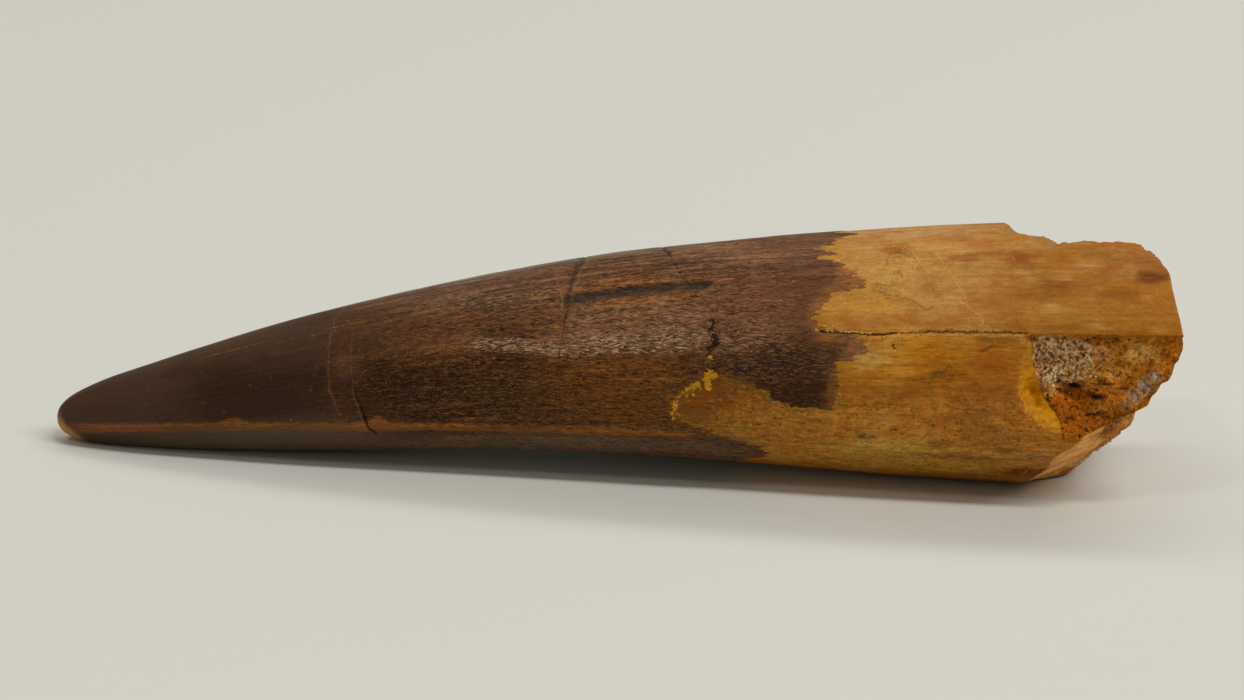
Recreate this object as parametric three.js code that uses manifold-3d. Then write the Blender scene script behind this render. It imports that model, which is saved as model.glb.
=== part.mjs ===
// Fossil tooth of a spinosaurus, lying on its side on a level surface.
//
// Millimetres, +Z up. +X runs from the tip to the broken root, -Y is the front, and the
// surface that the tooth lies on is z = 0. The tooth is one piece: the long enamel
// crown, the root behind it, and the sandstone that has hardened in the root's hollow.
// It lies on two flat spots, one near the tip and one under the root, and arches a
// little between them.

import * as THREE from 'three';
import { mergeVertices } from 'three/addons/utils/BufferGeometryUtils.js';
import Module from 'manifold-3d';

// Driving dimensions.

const LENGTH = 120;         // from the tip to the furthest point of the root
const TIP_POWER = 0.38;     // a small power makes a blunt, round tip
const TIP_MIDDLE = 2.5;     // height of the tip's point above the surface
const SIDE_TO_HEIGHT = 0.92; // width of a section over its height

// Sections: distance from the tip, full height, and height of the section's middle.
const SECTIONS = [
  { at: 7, height: 7.8, middle: 3.7 },
  { at: 15, height: 10.8, middle: 5.15 },
  { at: 30, height: 15.2, middle: 7.85 },
  { at: 45, height: 18.3, middle: 10.2 },
  { at: 60, height: 21.3, middle: 11.8 },
  { at: 75, height: 23.8, middle: 12.65 },
  { at: 90, height: 26.1, middle: 13.15 },
  { at: 105, height: 27.6, middle: 13.45 },
  { at: 125, height: 28.7, middle: 13.7 },
];

// The long ridges between the facets, as angles about the section's middle: 0 is the
// front and 90 is up. Each drifts along the tooth, so it has an angle at three places.
const RIDGES_AT = [5, 60, 110];
const RIDGES = [
  { name: 'front carina', angles: [-10, -31, -18] },
  { name: 'front ridge', angles: [22, 20, 27] },
  { name: 'upper ridge', angles: [66, 62, 70] },
  { name: 'crest', angles: [108, 108, 112] },
  { name: 'rear carina', angles: [150, 152, 158] },
  { name: 'lower back ridge', angles: [203, 206, 202] },
  { name: 'back edge of the base', angles: [245, 245, 248] },
  { name: 'front edge of the base', angles: [297, 297, 294] },
];
const FRONT_CARINA = 0;
const REAR_CARINA = 4;
const SHARPNESS = 13;       // higher makes the ridges sharper and the facets flatter
const SHARPNESS_SWING = 6;  // the front is sharper by this much, and the back blunter
const SHARPEST_ANGLE = 5;

const CARINA_RISE = 0.3;    // the two carinas stand proud of the enamel by this much
const CARINA_WIDTH = 0.45;
const CARINA_ENDS = [70, 78]; // they fade out between these distances from the tip

const COLUMNS = 9;          // facets between two ridges
const COLUMN_BUNCH = 0.11;  // how closely the columns bunch at the ridges
const ALONG = 38;           // facets along the tooth
const ALONG_POWER = 1.5;    // packs the facets towards the tip
const OVERRUN = 6;          // how far the whole form runs on past the break

// The break across the end of the root: how far along +X the root reaches, by height.
const END_REACH = [
  { at: -2, reach: 47.4 },
  { at: 1, reach: 49.8 },
  { at: 4, reach: 52.4 },
  { at: 7, reach: 54.6 },
  { at: 10, reach: 56.2 },
  { at: 13, reach: 57.1 },
  { at: 16, reach: 58.7 },
  { at: 19, reach: 59.6 },
  { at: 23, reach: 58.9 },
  { at: 25.5, reach: 58.5 },
  { at: 28, reach: 55.5 },
];
const END_TWIST_LOW = 0.13; // low down, the far side reaches further by this slope
const END_TWIST_HIGH = -0.12; // high up, it falls short by this slope
const TWIST_FROM = 8;       // heights between which one slope turns into the other
const TWIST_TO = 18;
const LIP_REACH = 5.5;      // the smooth lip at the lower front slants back by this much
const LIP_WIDTH = 4;
const LIP_FROM = [-86, -72]; // angles over which the lip begins
const LIP_TO = [-18, -6];   // and ends
const WALL = 2.6;           // thickness of the root's wall around its filled hollow
const FILL_SUNK = 0.9;      // how deep the sandstone lies behind the wall's broken edge
const END_ROUGHNESS = 0.5;
const FILL_ROUGHNESS = 1.3;

// The flake missing from the front of the root, which bares the sandstone. It starts at
// FLAKE_FROM, lies under a straight ledge along the front ridge, and runs to the end.
const FLAKE_FROM = 103.7;
const FLAKE_TOP = 27.4;     // angle of the ledge
const FLAKE_BOTTOM = [
  { at: 103, angle: -2 },
  { at: 105.5, angle: -12.6 },
  { at: 108, angle: -17 },
  { at: 112, angle: -21.4 },
  { at: 126, angle: -24 },
];
const FLAKE_DEPTH = 1.5;    // depth in its middle
const LEDGE_DEPTH = 0.9;    // depth under the ledge
const FLAKE_SLOPE = 1.6;    // width of the sloping edge on the left and below
const FLAKE_ROUGHNESS = 1.1;
const PIT = { at: 109.4, angle: -1.5, depth: 1.5, size: 1.5 };

// The chips along the crest of the root, as the height that is left by distance along
// +X. They slope down towards the back.
const CHIPS = [
  { at: 40.0, height: 31 },
  { at: 41.2, height: 27.9 },
  { at: 42.0, height: 27.4 },
  { at: 44.6, height: 27.2 },
  { at: 45.6, height: 26.2 },
  { at: 47.4, height: 26.2 },
  { at: 48.4, height: 26.6 },
  { at: 51.6, height: 26.7 },
  { at: 54.0, height: 26.5 },
  { at: 57.0, height: 25.8 },
  { at: 61.0, height: 24.3 },
];
const CHIP_SLOPE = 0.3;
const CHIP_ROUGHNESS = 0.25;
const CHIP_SKEW = 0.22;      // the chips' ends slant across the crest

const ENAMEL_BROWN = '#5a3420';

// Numbers that follow smooth or straight lines through a list.

function linear(list, key, at) {
  for (let i = 1; i < list.length; i++) {
    if (at <= list[i].at || i === list.length - 1) {
      const share = (at - list[i - 1].at) / (list[i].at - list[i - 1].at);
      return THREE.MathUtils.lerp(list[i - 1][key], list[i][key], THREE.MathUtils.clamp(share, 0, 1));
    }
  }
}

function smooth(list, key, at) {
  const last = list.length - 1;
  const slope = (i) => {
    const before = list[Math.max(i - 1, 0)];
    const after = list[Math.min(i + 1, last)];
    return (after[key] - before[key]) / (after.at - before.at);
  };
  let i = 0;
  while (i < last - 1 && at > list[i + 1].at) i++;
  const span = list[i + 1].at - list[i].at;
  const u = THREE.MathUtils.clamp((at - list[i].at) / span, 0, 1);
  const start = (1 + 2 * u) * (1 - u) * (1 - u) * list[i][key];
  const leave = u * (1 - u) * (1 - u) * span * slope(i);
  const end = u * u * (3 - 2 * u) * list[i + 1][key];
  const arrive = u * u * (u - 1) * span * slope(i + 1);
  return start + leave + end + arrive;
}

// Bumps between -1 and 1, the same on every run: values on a unit grid, blended.
function bumps(a, b) {
  const corner = (i, j) => {
    const s = Math.sin(i * 127.1 + j * 311.7) * 43758.5453;
    return 2 * (s - Math.floor(s)) - 1;
  };
  const i = Math.floor(a);
  const j = Math.floor(b);
  const u = THREE.MathUtils.smoothstep(a - i, 0, 1);
  const v = THREE.MathUtils.smoothstep(b - j, 0, 1);
  const low = THREE.MathUtils.lerp(corner(i, j), corner(i + 1, j), u);
  const high = THREE.MathUtils.lerp(corner(i, j + 1), corner(i + 1, j + 1), u);
  return THREE.MathUtils.lerp(low, high, v);
}

// The outer form.

const ROUND = 360;
const rad = THREE.MathUtils.degToRad;

function halfHeight(at) {
  const first = SECTIONS[0];
  if (at < first.at) return 0.5 * first.height * Math.pow(at / first.at, TIP_POWER);
  return 0.5 * smooth(SECTIONS, 'height', at);
}

const MIDDLES = [{ at: 0, middle: TIP_MIDDLE }, ...SECTIONS];

function middleHeight(at) {
  return smooth(MIDDLES, 'middle', at);
}

function ridgeAngle(ridge, at) {
  const list = RIDGES_AT.map((place, i) => ({ at: place, angle: ridge.angles[i] }));
  return smooth(list, 'angle', at);
}

function ridgeAngles(at) {
  return RIDGES.map((ridge) => ridgeAngle(ridge, at));
}

// How far a carina stands proud at an angle, given the angle it runs at.
function carinaRise(at, angle, runsAt) {
  const turn = THREE.MathUtils.euclideanModulo(angle - runsAt + ROUND / 2, ROUND) - ROUND / 2;
  const away = rad(turn) * halfHeight(at) / CARINA_WIDTH;
  const fade = 1 - THREE.MathUtils.smoothstep(at, CARINA_ENDS[0], CARINA_ENDS[1]);
  return CARINA_RISE * fade * THREE.MathUtils.smoothstep(at, 0, 12) * Math.exp(-away * away);
}

// Each pair of ridges has a flat facet between them. The section is the smooth inside of
// all the facets' planes, so its corners are the rounded ridges.
function outerRadius(at, angle) {
  const ridges = ridgeAngles(at);
  const sharpness = SHARPNESS + SHARPNESS_SWING * Math.cos(rad(angle - SHARPEST_ANGLE));
  let sum = 0;
  for (let i = 0; i < ridges.length; i++) {
    const next = i + 1 < ridges.length ? ridges[i + 1] : ridges[0] + ROUND;
    const facing = rad((ridges[i] + next) / 2);
    const distance = Math.hypot(Math.sin(facing), SIDE_TO_HEIGHT * Math.cos(facing));
    const towards = Math.max(0, Math.cos(rad(angle) - facing)) / distance;
    sum += Math.pow(towards, sharpness);
  }
  const rise = carinaRise(at, angle, ridges[FRONT_CARINA]) + carinaRise(at, angle, ridges[REAR_CARINA]);
  return halfHeight(at) * Math.pow(sum, -1 / sharpness) + rise;
}

function place(at, angle, radius) {
  const y = -radius * Math.cos(rad(angle));
  const z = middleHeight(at) + radius * Math.sin(rad(angle));
  return new THREE.Vector3(at - LENGTH / 2, y, z);
}

// A geometry with every point moved to where move(point) says.
function reshape(geometry, move) {
  const points = geometry.attributes.position;
  const point = new THREE.Vector3();
  for (let i = 0; i < points.count; i++) {
    point.fromBufferAttribute(points, i);
    const moved = move(point);
    points.setXYZ(i, moved.x, moved.y, moved.z);
  }
  return geometry;
}

// The angle of a point that is a share of the way round, where equal shares lie between
// the ridges and most points lie close to a ridge.
function angleAround(at, share) {
  const ridges = ridgeAngles(at);
  const passed = Math.min(Math.floor(share * ridges.length), ridges.length - 1);
  const between = share * ridges.length - passed;
  const bunched = between - COLUMN_BUNCH * Math.sin(2 * Math.PI * between);
  const next = passed + 1 < ridges.length ? ridges[passed + 1] : ridges[0] + ROUND;
  return THREE.MathUtils.lerp(ridges[passed], next, bunched);
}

// A cone of unit length and radius, bent to the sections and laid on the surface.
function wholeTooth() {
  const cone = new THREE.ConeGeometry(1, 1, COLUMNS * RIDGES.length, ALONG);
  return reshape(cone, (point) => {
    const share = 0.5 - point.y;
    const at = (LENGTH + OVERRUN) * Math.pow(share, ALONG_POWER);
    const out = share > 0 ? Math.hypot(point.x, point.z) / share : 0;
    const turn = Math.atan2(point.x, point.z) / (2 * Math.PI);
    const angle = angleAround(at, THREE.MathUtils.euclideanModulo(turn, 1));
    const placed = place(at, angle, out * outerRadius(at, angle));
    placed.z = Math.max(placed.z, 0);
    return placed;
  });
}

// The tools that break it.

// A block whose near face is the break across the end of the root.
const BLOCK_SIDE = 34;
const BLOCK_STEPS = 32;
const BLOCK_DEPTH = 12;
const END_SECTION = 112;    // the section that the break's wall and hollow follow

function endReach(y, z) {
  const up = z - middleHeight(END_SECTION);
  const angle = THREE.MathUtils.radToDeg(Math.atan2(up, -y));
  const inside = outerRadius(END_SECTION, angle) - Math.hypot(y, up);
  const high = THREE.MathUtils.smoothstep(z, TWIST_FROM, TWIST_TO);
  const twist = THREE.MathUtils.lerp(END_TWIST_LOW, END_TWIST_HIGH, high) * (y + 10);
  const begun = THREE.MathUtils.smoothstep(angle, LIP_FROM[0], LIP_FROM[1]);
  const onLip = begun * (1 - THREE.MathUtils.smoothstep(angle, LIP_TO[0], LIP_TO[1]));
  const lip = onLip * LIP_REACH * (1 - THREE.MathUtils.clamp(inside / LIP_WIDTH, 0, 1));
  const fill = THREE.MathUtils.smoothstep(inside, WALL, WALL + 1);
  const rough = THREE.MathUtils.lerp(END_ROUGHNESS * (1 - onLip), FILL_ROUGHNESS, fill);
  const uneven = rough * (0.5 * bumps(y / 2.9, z / 2.9) + 0.4 * bumps(y / 1.4 + 7, z / 1.4));
  return smooth(END_REACH, 'reach', z) + twist - lip - fill * FILL_SUNK + uneven;
}

function endBlock() {
  const block = new THREE.BoxGeometry(1, 1, 1, 1, BLOCK_STEPS, BLOCK_STEPS);
  return reshape(block, (point) => {
    const y = point.y * BLOCK_SIDE;
    const z = (point.z + 0.45) * BLOCK_SIDE;
    const x = point.x < 0 ? endReach(y, z) : LENGTH / 2 + BLOCK_DEPTH;
    return new THREE.Vector3(x, y, z);
  });
}

// A slab that follows the surface, as thick as the missing flake.
const FLAKE_ALONG = 24;
const FLAKE_AROUND = 22;
const PROUD = 4;

function flakeDepth(at, angle, bottom) {
  const radius = outerRadius(at, angle);
  const fromLeft = at - FLAKE_FROM;
  const fromBelow = rad(angle - bottom) * radius;
  const fromLedge = rad(FLAKE_TOP - angle) * radius;
  const edge = THREE.MathUtils.smoothstep(Math.min(fromLeft, fromBelow), -0.3, FLAKE_SLOPE);
  const middle = THREE.MathUtils.smoothstep(fromLedge, 0, 4);
  const floor = THREE.MathUtils.lerp(LEDGE_DEPTH, FLAKE_DEPTH, middle);
  const away = Math.hypot(at - PIT.at, rad(angle - PIT.angle) * radius) / PIT.size;
  const pit = PIT.depth * Math.exp(-away * away);
  const uneven = FLAKE_ROUGHNESS * (0.5 * bumps(at / 1.9, angle / 8) + 0.3 * bumps(at / 0.9, angle / 4));
  return edge * (floor + pit + uneven * Math.min(1, fromLedge / 1.5 + 0.2));
}

function flakeSlab() {
  const slab = new THREE.BoxGeometry(1, 1, 1, FLAKE_ALONG, 1, FLAKE_AROUND);
  return reshape(slab, (point) => {
    const at = FLAKE_FROM + (point.x + 0.5) * (LENGTH + OVERRUN - 1 - FLAKE_FROM);
    const bottom = smooth(FLAKE_BOTTOM, 'angle', at);
    const angle = THREE.MathUtils.lerp(bottom, FLAKE_TOP, point.z + 0.5);
    const offset = point.y > 0 ? -flakeDepth(at, angle, bottom) : PROUD;
    return place(at, angle, outerRadius(at, angle) + offset);
  });
}

// A block whose underside leaves the chipped crest.
const CHIPS_ALONG = 26;
const CHIPS_ACROSS = 14;
const CHIPS_WIDTH = 22;
const CHIPS_TOP = 34;

function chipBlock() {
  const first = CHIPS[0].at;
  const last = CHIPS[CHIPS.length - 1].at;
  const block = new THREE.BoxGeometry(1, 1, 1, CHIPS_ALONG, CHIPS_ACROSS, 1);
  return reshape(block, (point) => {
    const x = THREE.MathUtils.lerp(first, last, point.x + 0.5);
    const y = 4 + point.y * CHIPS_WIDTH;
    const uneven = CHIP_ROUGHNESS * bumps(x / 1.3, y / 1.7);
    const along = x - CHIP_SKEW * (y + 3) + 0.7 * bumps(y / 2.6, 5);
    const floor = linear(CHIPS, 'height', along) - CHIP_SLOPE * (y + 3) + uneven;
    return new THREE.Vector3(x, y, point.z > 0 ? CHIPS_TOP : floor);
  });
}

// Cutting, and the finished piece.

const manifold = await Module();
manifold.setup();

function solid(geometry) {
  const bare = geometry.clone();
  bare.deleteAttribute('normal');
  bare.deleteAttribute('uv');
  const merged = mergeVertices(bare, 1e-4);
  const vertProperties = new Float32Array(merged.attributes.position.array);
  const triVerts = new Uint32Array(merged.index.array);
  return new manifold.Manifold(new manifold.Mesh({ numProp: 3, vertProperties, triVerts }));
}

function geometryOf(shape) {
  const cut = shape.getMesh();
  const geometry = new THREE.BufferGeometry();
  geometry.setAttribute('position', new THREE.BufferAttribute(cut.vertProperties, 3));
  geometry.setIndex(new THREE.BufferAttribute(cut.triVerts, 1));
  geometry.computeVertexNormals();
  return geometry;
}

// Moves the geometry so that the middle of its base is the origin.
function centred(geometry) {
  geometry.computeBoundingBox();
  const middle = geometry.boundingBox.getCenter(new THREE.Vector3());
  return geometry.translate(-middle.x, -middle.y, 0);
}

const broken = solid(wholeTooth())
  .subtract(solid(endBlock()))
  .subtract(solid(flakeSlab()))
  .subtract(solid(chipBlock()));

const finish = new THREE.MeshStandardMaterial({ color: ENAMEL_BROWN, roughness: 0.45, metalness: 0 });
const tooth = new THREE.Mesh(centred(geometryOf(broken)), finish);
tooth.name = 'tooth';

const group = new THREE.Group();
group.add(tooth);

export default group;
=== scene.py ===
"""A fossil spinosaurus tooth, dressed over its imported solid.

The tooth lies on its side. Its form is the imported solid's own, worked out from the same
sizes on a much finer mesh, so the crown, the root, the missing flake, the chipped crest and
the broken end all lie where the solid has them. Sizes are millimetres and degrees until a
mesh is made: "at" is the distance from the tip, and "angle" is measured about the middle of
a section, where 0 is the front and 90 is up.
"""

import logging
import math
from dataclasses import dataclass, field
from enum import Enum
from typing import Sequence, Union

import bmesh
import bpy
import numpy as np
from mathutils import Matrix, Vector


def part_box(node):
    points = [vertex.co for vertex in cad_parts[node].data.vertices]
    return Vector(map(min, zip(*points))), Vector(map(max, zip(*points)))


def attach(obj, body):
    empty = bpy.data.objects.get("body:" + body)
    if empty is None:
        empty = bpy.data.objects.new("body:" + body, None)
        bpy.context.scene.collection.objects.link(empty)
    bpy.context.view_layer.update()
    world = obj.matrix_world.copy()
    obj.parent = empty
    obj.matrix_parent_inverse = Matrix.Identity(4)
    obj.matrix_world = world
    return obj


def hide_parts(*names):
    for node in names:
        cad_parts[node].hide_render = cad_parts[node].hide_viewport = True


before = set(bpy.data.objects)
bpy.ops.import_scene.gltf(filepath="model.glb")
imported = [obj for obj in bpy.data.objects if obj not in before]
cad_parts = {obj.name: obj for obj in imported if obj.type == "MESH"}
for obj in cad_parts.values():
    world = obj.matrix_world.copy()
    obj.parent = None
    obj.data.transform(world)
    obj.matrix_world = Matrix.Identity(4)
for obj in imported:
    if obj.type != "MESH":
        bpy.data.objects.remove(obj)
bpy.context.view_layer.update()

LOG = logging.getLogger("tooth")
MM = 0.001
Numbers = Union[float, np.ndarray]
Colour = tuple[float, float, float]
SOLID = "tooth"
BODY = "root"
# Edges are measured as far as REACH. FAR and FURTHEST are past anything on the tooth.
REACH = 3.0
FAR = 99.0
FURTHEST = 140.0


# Numbers that follow lines, steps and bumps.


def smooth_line(places: Sequence[float], values: Sequence[float], at: Numbers) -> np.ndarray:
    """Follow a smooth line through listed values.

    Args:
        places: Where the values are given, rising.
        values: The value at each place.
        at: Where the line is wanted.

    Returns:
        The line's value at each wanted place, held level past both ends.
    """
    x, y = np.asarray(places, float), np.asarray(values, float)
    last = len(x) - 1
    before = np.maximum(np.arange(last + 1) - 1, 0)
    after = np.minimum(np.arange(last + 1) + 1, last)
    slope = (y[after] - y[before]) / (x[after] - x[before])
    i = np.clip(np.searchsorted(x, at, side="left") - 1, 0, last - 1)
    span = x[i + 1] - x[i]
    u = np.clip((at - x[i]) / span, 0, 1)
    leaving = (1 + 2 * u) * (1 - u) ** 2 * y[i] + u * (1 - u) ** 2 * span * slope[i]
    arriving = u * u * (3 - 2 * u) * y[i + 1] + u * u * (u - 1) * span * slope[i + 1]
    return leaving + arriving


def step(value: Numbers, low: float, high: float) -> np.ndarray:
    """Rise smoothly from 0 at low to 1 at high.

    Args:
        value: The numbers that decide.
        low: Where the rise starts.
        high: Where it ends, below low for a fall.

    Returns:
        A share from 0 to 1 for each number.
    """
    u = np.clip((np.asarray(value, float) - low) / (high - low), 0, 1)
    return u * u * (3 - 2 * u)


def mix(low: Numbers, high: Numbers, share: Numbers) -> np.ndarray:
    """Blend two numbers by a share from 0 to 1."""
    return low + (high - low) * share


def bell(value: Numbers, middle: Numbers, width: float) -> np.ndarray:
    """Give 1 at the middle, falling away to both sides over a width."""
    return np.exp(-(((value - middle) / width) ** 2))


def bumps(a: Numbers, b: Numbers) -> np.ndarray:
    """Give even bumps over a plane, from a value at each corner of a unit grid.

    Args:
        a: First coordinate.
        b: Second coordinate.

    Returns:
        Numbers between -1 and 1, the same on every run.
    """
    a, b = np.broadcast_arrays(np.asarray(a, float), np.asarray(b, float))
    i, j = np.floor(a), np.floor(b)
    u, v = step(a - i, 0, 1), step(b - j, 0, 1)

    def corner(right: int, up: int) -> np.ndarray:
        """Give the value at one corner of the cell."""
        s = np.sin((i + right) * 127.1 + (j + up) * 311.7) * 43758.5453
        return 2 * (s - np.floor(s)) - 1

    return mix(mix(corner(0, 0), corner(1, 0), u), mix(corner(0, 1), corner(1, 1), u), v)


def linear(code: str) -> Colour:
    """Turn a colour code such as 5a3420 into linear red, green and blue.

    Args:
        code: Six hexadecimal digits, as a paint chart gives them.

    Returns:
        The three linear shares.
    """
    shares = [int(code[i:i + 2], 16) / 255 for i in (0, 2, 4)]
    return tuple(c / 12.92 if c < 0.04045 else ((c + 0.055) / 1.055) ** 2.4 for c in shares)


# The form of the tooth, as the solid has it.


@dataclass(frozen=True)
class Form:
    """The outer form of the whole tooth, before anything broke off it."""

    length: float = 120.0
    tip_power: float = 0.38
    tip_middle: float = 2.5
    side_to_height: float = 0.92
    stations: tuple = (7, 15, 30, 45, 60, 75, 90, 105, 125)
    heights: tuple = (7.8, 10.8, 15.2, 18.3, 21.3, 23.8, 26.1, 27.6, 28.7)
    middles: tuple = (3.7, 5.15, 7.85, 10.2, 11.8, 12.65, 13.15, 13.45, 13.7)
    ridges_at: tuple = (5, 60, 110)
    ridges: tuple = (
        (-10, -31, -18),
        (22, 20, 27),
        (66, 62, 70),
        (108, 108, 112),
        (150, 152, 158),
        (203, 206, 202),
        (245, 245, 248),
        (297, 297, 294),
    )
    front_carina: int = 0
    front_ridge: int = 1
    upper_ridge: int = 2
    rear_carina: int = 4
    sharpness: float = 13.0
    sharpness_swing: float = 6.0
    sharpest_angle: float = 5.0
    carina_rise: float = 0.3
    carina_width: float = 0.45
    carina_ends: tuple = (70.0, 78.0)

    def half_height(self, at: Numbers) -> np.ndarray:
        """Give half the height of the section.

        Args:
            at: Distance from the tip.

        Returns:
            Half heights.
        """
        first = self.stations[0]
        tip = 0.5 * self.heights[0] * (np.clip(at, 0, first) / first) ** self.tip_power
        return np.where(at < first, tip, 0.5 * smooth_line(self.stations, self.heights, at))

    def middle(self, at: Numbers) -> np.ndarray:
        """Give the height of the section's middle above the surface it lies on."""
        return smooth_line((0, *self.stations), (self.tip_middle, *self.middles), at)

    def ridge(self, index: int, at: Numbers) -> np.ndarray:
        """Give the angle that a long ridge runs at."""
        return smooth_line(self.ridges_at, self.ridges[index], at)

    def beside(self, index: int, at: Numbers, angle: Numbers) -> np.ndarray:
        """Measure round the surface from a long ridge.

        Args:
            index: Which ridge.
            at: Distance from the tip.
            angle: Angle of the point.

        Returns:
            Millimetres from the ridge, more than 0 above a ridge on the front.
        """
        turn = np.mod(angle - self.ridge(index, at) + 180, 360) - 180
        return np.radians(turn) * self.half_height(at)

    def radius(self, at: Numbers, angle: Numbers) -> np.ndarray:
        """Give the distance from a section's middle to the unbroken surface.

        Args:
            at: Distance from the tip.
            angle: Angle about the middle.

        Returns:
            Radii.
        """
        ridges = [self.ridge(i, at) for i in range(len(self.ridges))]
        ridges.append(ridges[0] + 360)
        swing = self.sharpness_swing * np.cos(np.radians(angle - self.sharpest_angle))
        sharpness = self.sharpness + swing
        total = 0.0
        for lower, upper in zip(ridges, ridges[1:]):
            facing = np.radians((lower + upper) / 2)
            distance = np.hypot(np.sin(facing), self.side_to_height * np.cos(facing))
            towards = np.maximum(0, np.cos(np.radians(angle) - facing)) / distance
            total = total + towards ** sharpness
        fade = (1 - step(at, *self.carina_ends)) * step(at, 0, 12)
        rise = 0.0
        for index in (self.front_carina, self.rear_carina):
            rise = rise + np.exp(-(self.beside(index, at, angle) / self.carina_width) ** 2)
        return self.half_height(at) * total ** (-1 / sharpness) + self.carina_rise * fade * rise

    def place(self, at: Numbers, angle: Numbers, radius: Numbers) -> np.ndarray:
        """Put points on the section at a distance from the tip.

        Args:
            at: Distance from the tip.
            angle: Angle about the section's middle.
            radius: Distance from the middle.

        Returns:
            One row of x, y and z for each point.
        """
        turn = np.radians(angle)
        x, y = at - self.length / 2, -radius * np.cos(turn)
        return np.stack(np.broadcast_arrays(x, y, self.middle(at) + radius * np.sin(turn)), -1)

    def unroll(self, at: Numbers, angle: Numbers) -> np.ndarray:
        """Lay the surface flat, as millimetres along and millimetres around."""
        return np.stack(np.broadcast_arrays(at, np.radians(angle) * self.half_height(at)), -1)


@dataclass(frozen=True)
class BrokenEnd:
    """The break across the end of the root, and the sandstone in the root's hollow."""

    heights: tuple = (-2, 1, 4, 7, 10, 13, 16, 19, 23, 25.5, 28)
    reaches: tuple = (47.4, 49.8, 52.4, 54.6, 56.2, 57.1, 58.7, 59.6, 58.9, 58.5, 55.5)
    twist_low: float = 0.13
    twist_high: float = -0.12
    twist_from: float = 8.0
    twist_to: float = 18.0
    lip_reach: float = 5.5
    lip_width: float = 4.0
    lip_from: tuple = (-86.0, -72.0)
    lip_to: tuple = (-18.0, -6.0)
    wall: float = 2.6
    fill_sunk: float = 0.9
    wall_roughness: float = 0.5
    fill_roughness: float = 1.3
    section: float = 112.0
    grit: float = 0.3

    def zones(self, form: Form, y: np.ndarray, z: np.ndarray) -> tuple:
        """Say where points of the end lie between its outer edge and its hollow.

        Args:
            form: The outer form.
            y: Across the tooth.
            z: Height.

        Returns:
            The depth inside the outer edge, the share of lip and the share of sandstone.
        """
        up = z - form.middle(self.section)
        angle = np.degrees(np.arctan2(up, -y))
        inside = form.radius(self.section, angle) - np.hypot(y, up)
        lip = step(angle, *self.lip_from) * (1 - step(angle, *self.lip_to))
        return inside, lip, step(inside, self.wall, self.wall + 1)

    def reach(self, form: Form, y: np.ndarray, z: np.ndarray) -> np.ndarray:
        """Give how far along x the root reaches.

        Args:
            form: The outer form.
            y: Across the tooth.
            z: Height.

        Returns:
            The broken face's x.
        """
        inside, lip, fill = self.zones(form, y, z)
        twist = mix(self.twist_low, self.twist_high, step(z, self.twist_from, self.twist_to))
        slant = lip * self.lip_reach * (1 - np.clip(inside / self.lip_width, 0, 1))
        rough = mix(self.wall_roughness * (1 - lip), self.fill_roughness, fill)
        uneven = rough * (0.5 * bumps(y / 2.9, z / 2.9) + 0.4 * bumps(y / 1.4 + 7, z / 1.4))
        reach = smooth_line(self.heights, self.reaches, z) + twist * (y + 10)
        return reach - slant - fill * self.fill_sunk + uneven

    def grain(self, form: Form, y: np.ndarray, z: np.ndarray) -> np.ndarray:
        """Add the fine grit that is too small for the solid.

        Args:
            form: The outer form.
            y: Across the tooth.
            z: Height.

        Returns:
            Millimetres along x, never more than 0 by much.
        """
        _, lip, fill = self.zones(form, y, z)
        grit = 0.6 * bumps(y / 0.75 + 3, z / 0.75) + 0.4 * bumps(y / 0.4, z / 0.4 + 9) - 0.4
        return self.grit * grit * mix(0.45 * (1 - 0.8 * lip), 1, fill)


@dataclass(frozen=True)
class MissingFlake:
    """The flake missing from the front of the root, under a straight ledge."""

    starts: float = 103.7
    ledge: float = 27.4
    bottom_at: tuple = (103, 105.5, 108, 112, 126)
    bottom_angle: tuple = (-2, -12.6, -17, -21.4, -24)
    depth: float = 1.5
    ledge_depth: float = 0.9
    slope: float = 1.6
    roughness: float = 1.1
    pit_at: float = 109.4
    pit_angle: float = -1.5
    pit_depth: float = 1.5
    pit_size: float = 1.5
    grit: float = 0.22

    def edges(self, form: Form, at: np.ndarray, angle: np.ndarray) -> tuple:
        """Measure from the flake's left and lower edges, and from the ledge.

        Args:
            form: The outer form.
            at: Distance from the tip.
            angle: Angle about the middle.

        Returns:
            Millimetres inside the sloping edges, and millimetres below the ledge.
        """
        radius = form.radius(at, angle)
        bottom = smooth_line(self.bottom_at, self.bottom_angle, at)
        inside = np.minimum(at - self.starts, np.radians(angle - bottom) * radius)
        return inside, np.radians(self.ledge - angle) * radius

    def cut(self, form: Form, at: np.ndarray, angle: np.ndarray) -> np.ndarray:
        """Give how deep the flake's scar lies under the unbroken surface.

        Args:
            form: The outer form.
            at: Distance from the tip.
            angle: Angle about the middle.

        Returns:
            Depths, 0 outside the scar.
        """
        inside, below = self.edges(form, at, angle)
        radius = form.radius(at, angle)
        floor = mix(self.ledge_depth, self.depth, step(below, 0, 4))
        away = np.hypot(at - self.pit_at, np.radians(angle - self.pit_angle) * radius)
        pit = self.pit_depth * np.exp(-(away / self.pit_size) ** 2)
        rough = 0.5 * bumps(at / 1.9, angle / 8) + 0.3 * bumps(at / 0.9, angle / 4)
        grit = 0.6 * bumps(at / 0.6, angle / 2.6 + 5) + 0.4 * bumps(at / 0.33 + 2, angle / 1.5)
        uneven = (self.roughness * rough + self.grit * grit) * np.minimum(1, below / 1.5 + 0.2)
        depth = step(inside, -0.3, self.slope) * (floor + pit + uneven)
        return np.where((below > 0) & (inside > -0.3), depth, 0)


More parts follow.
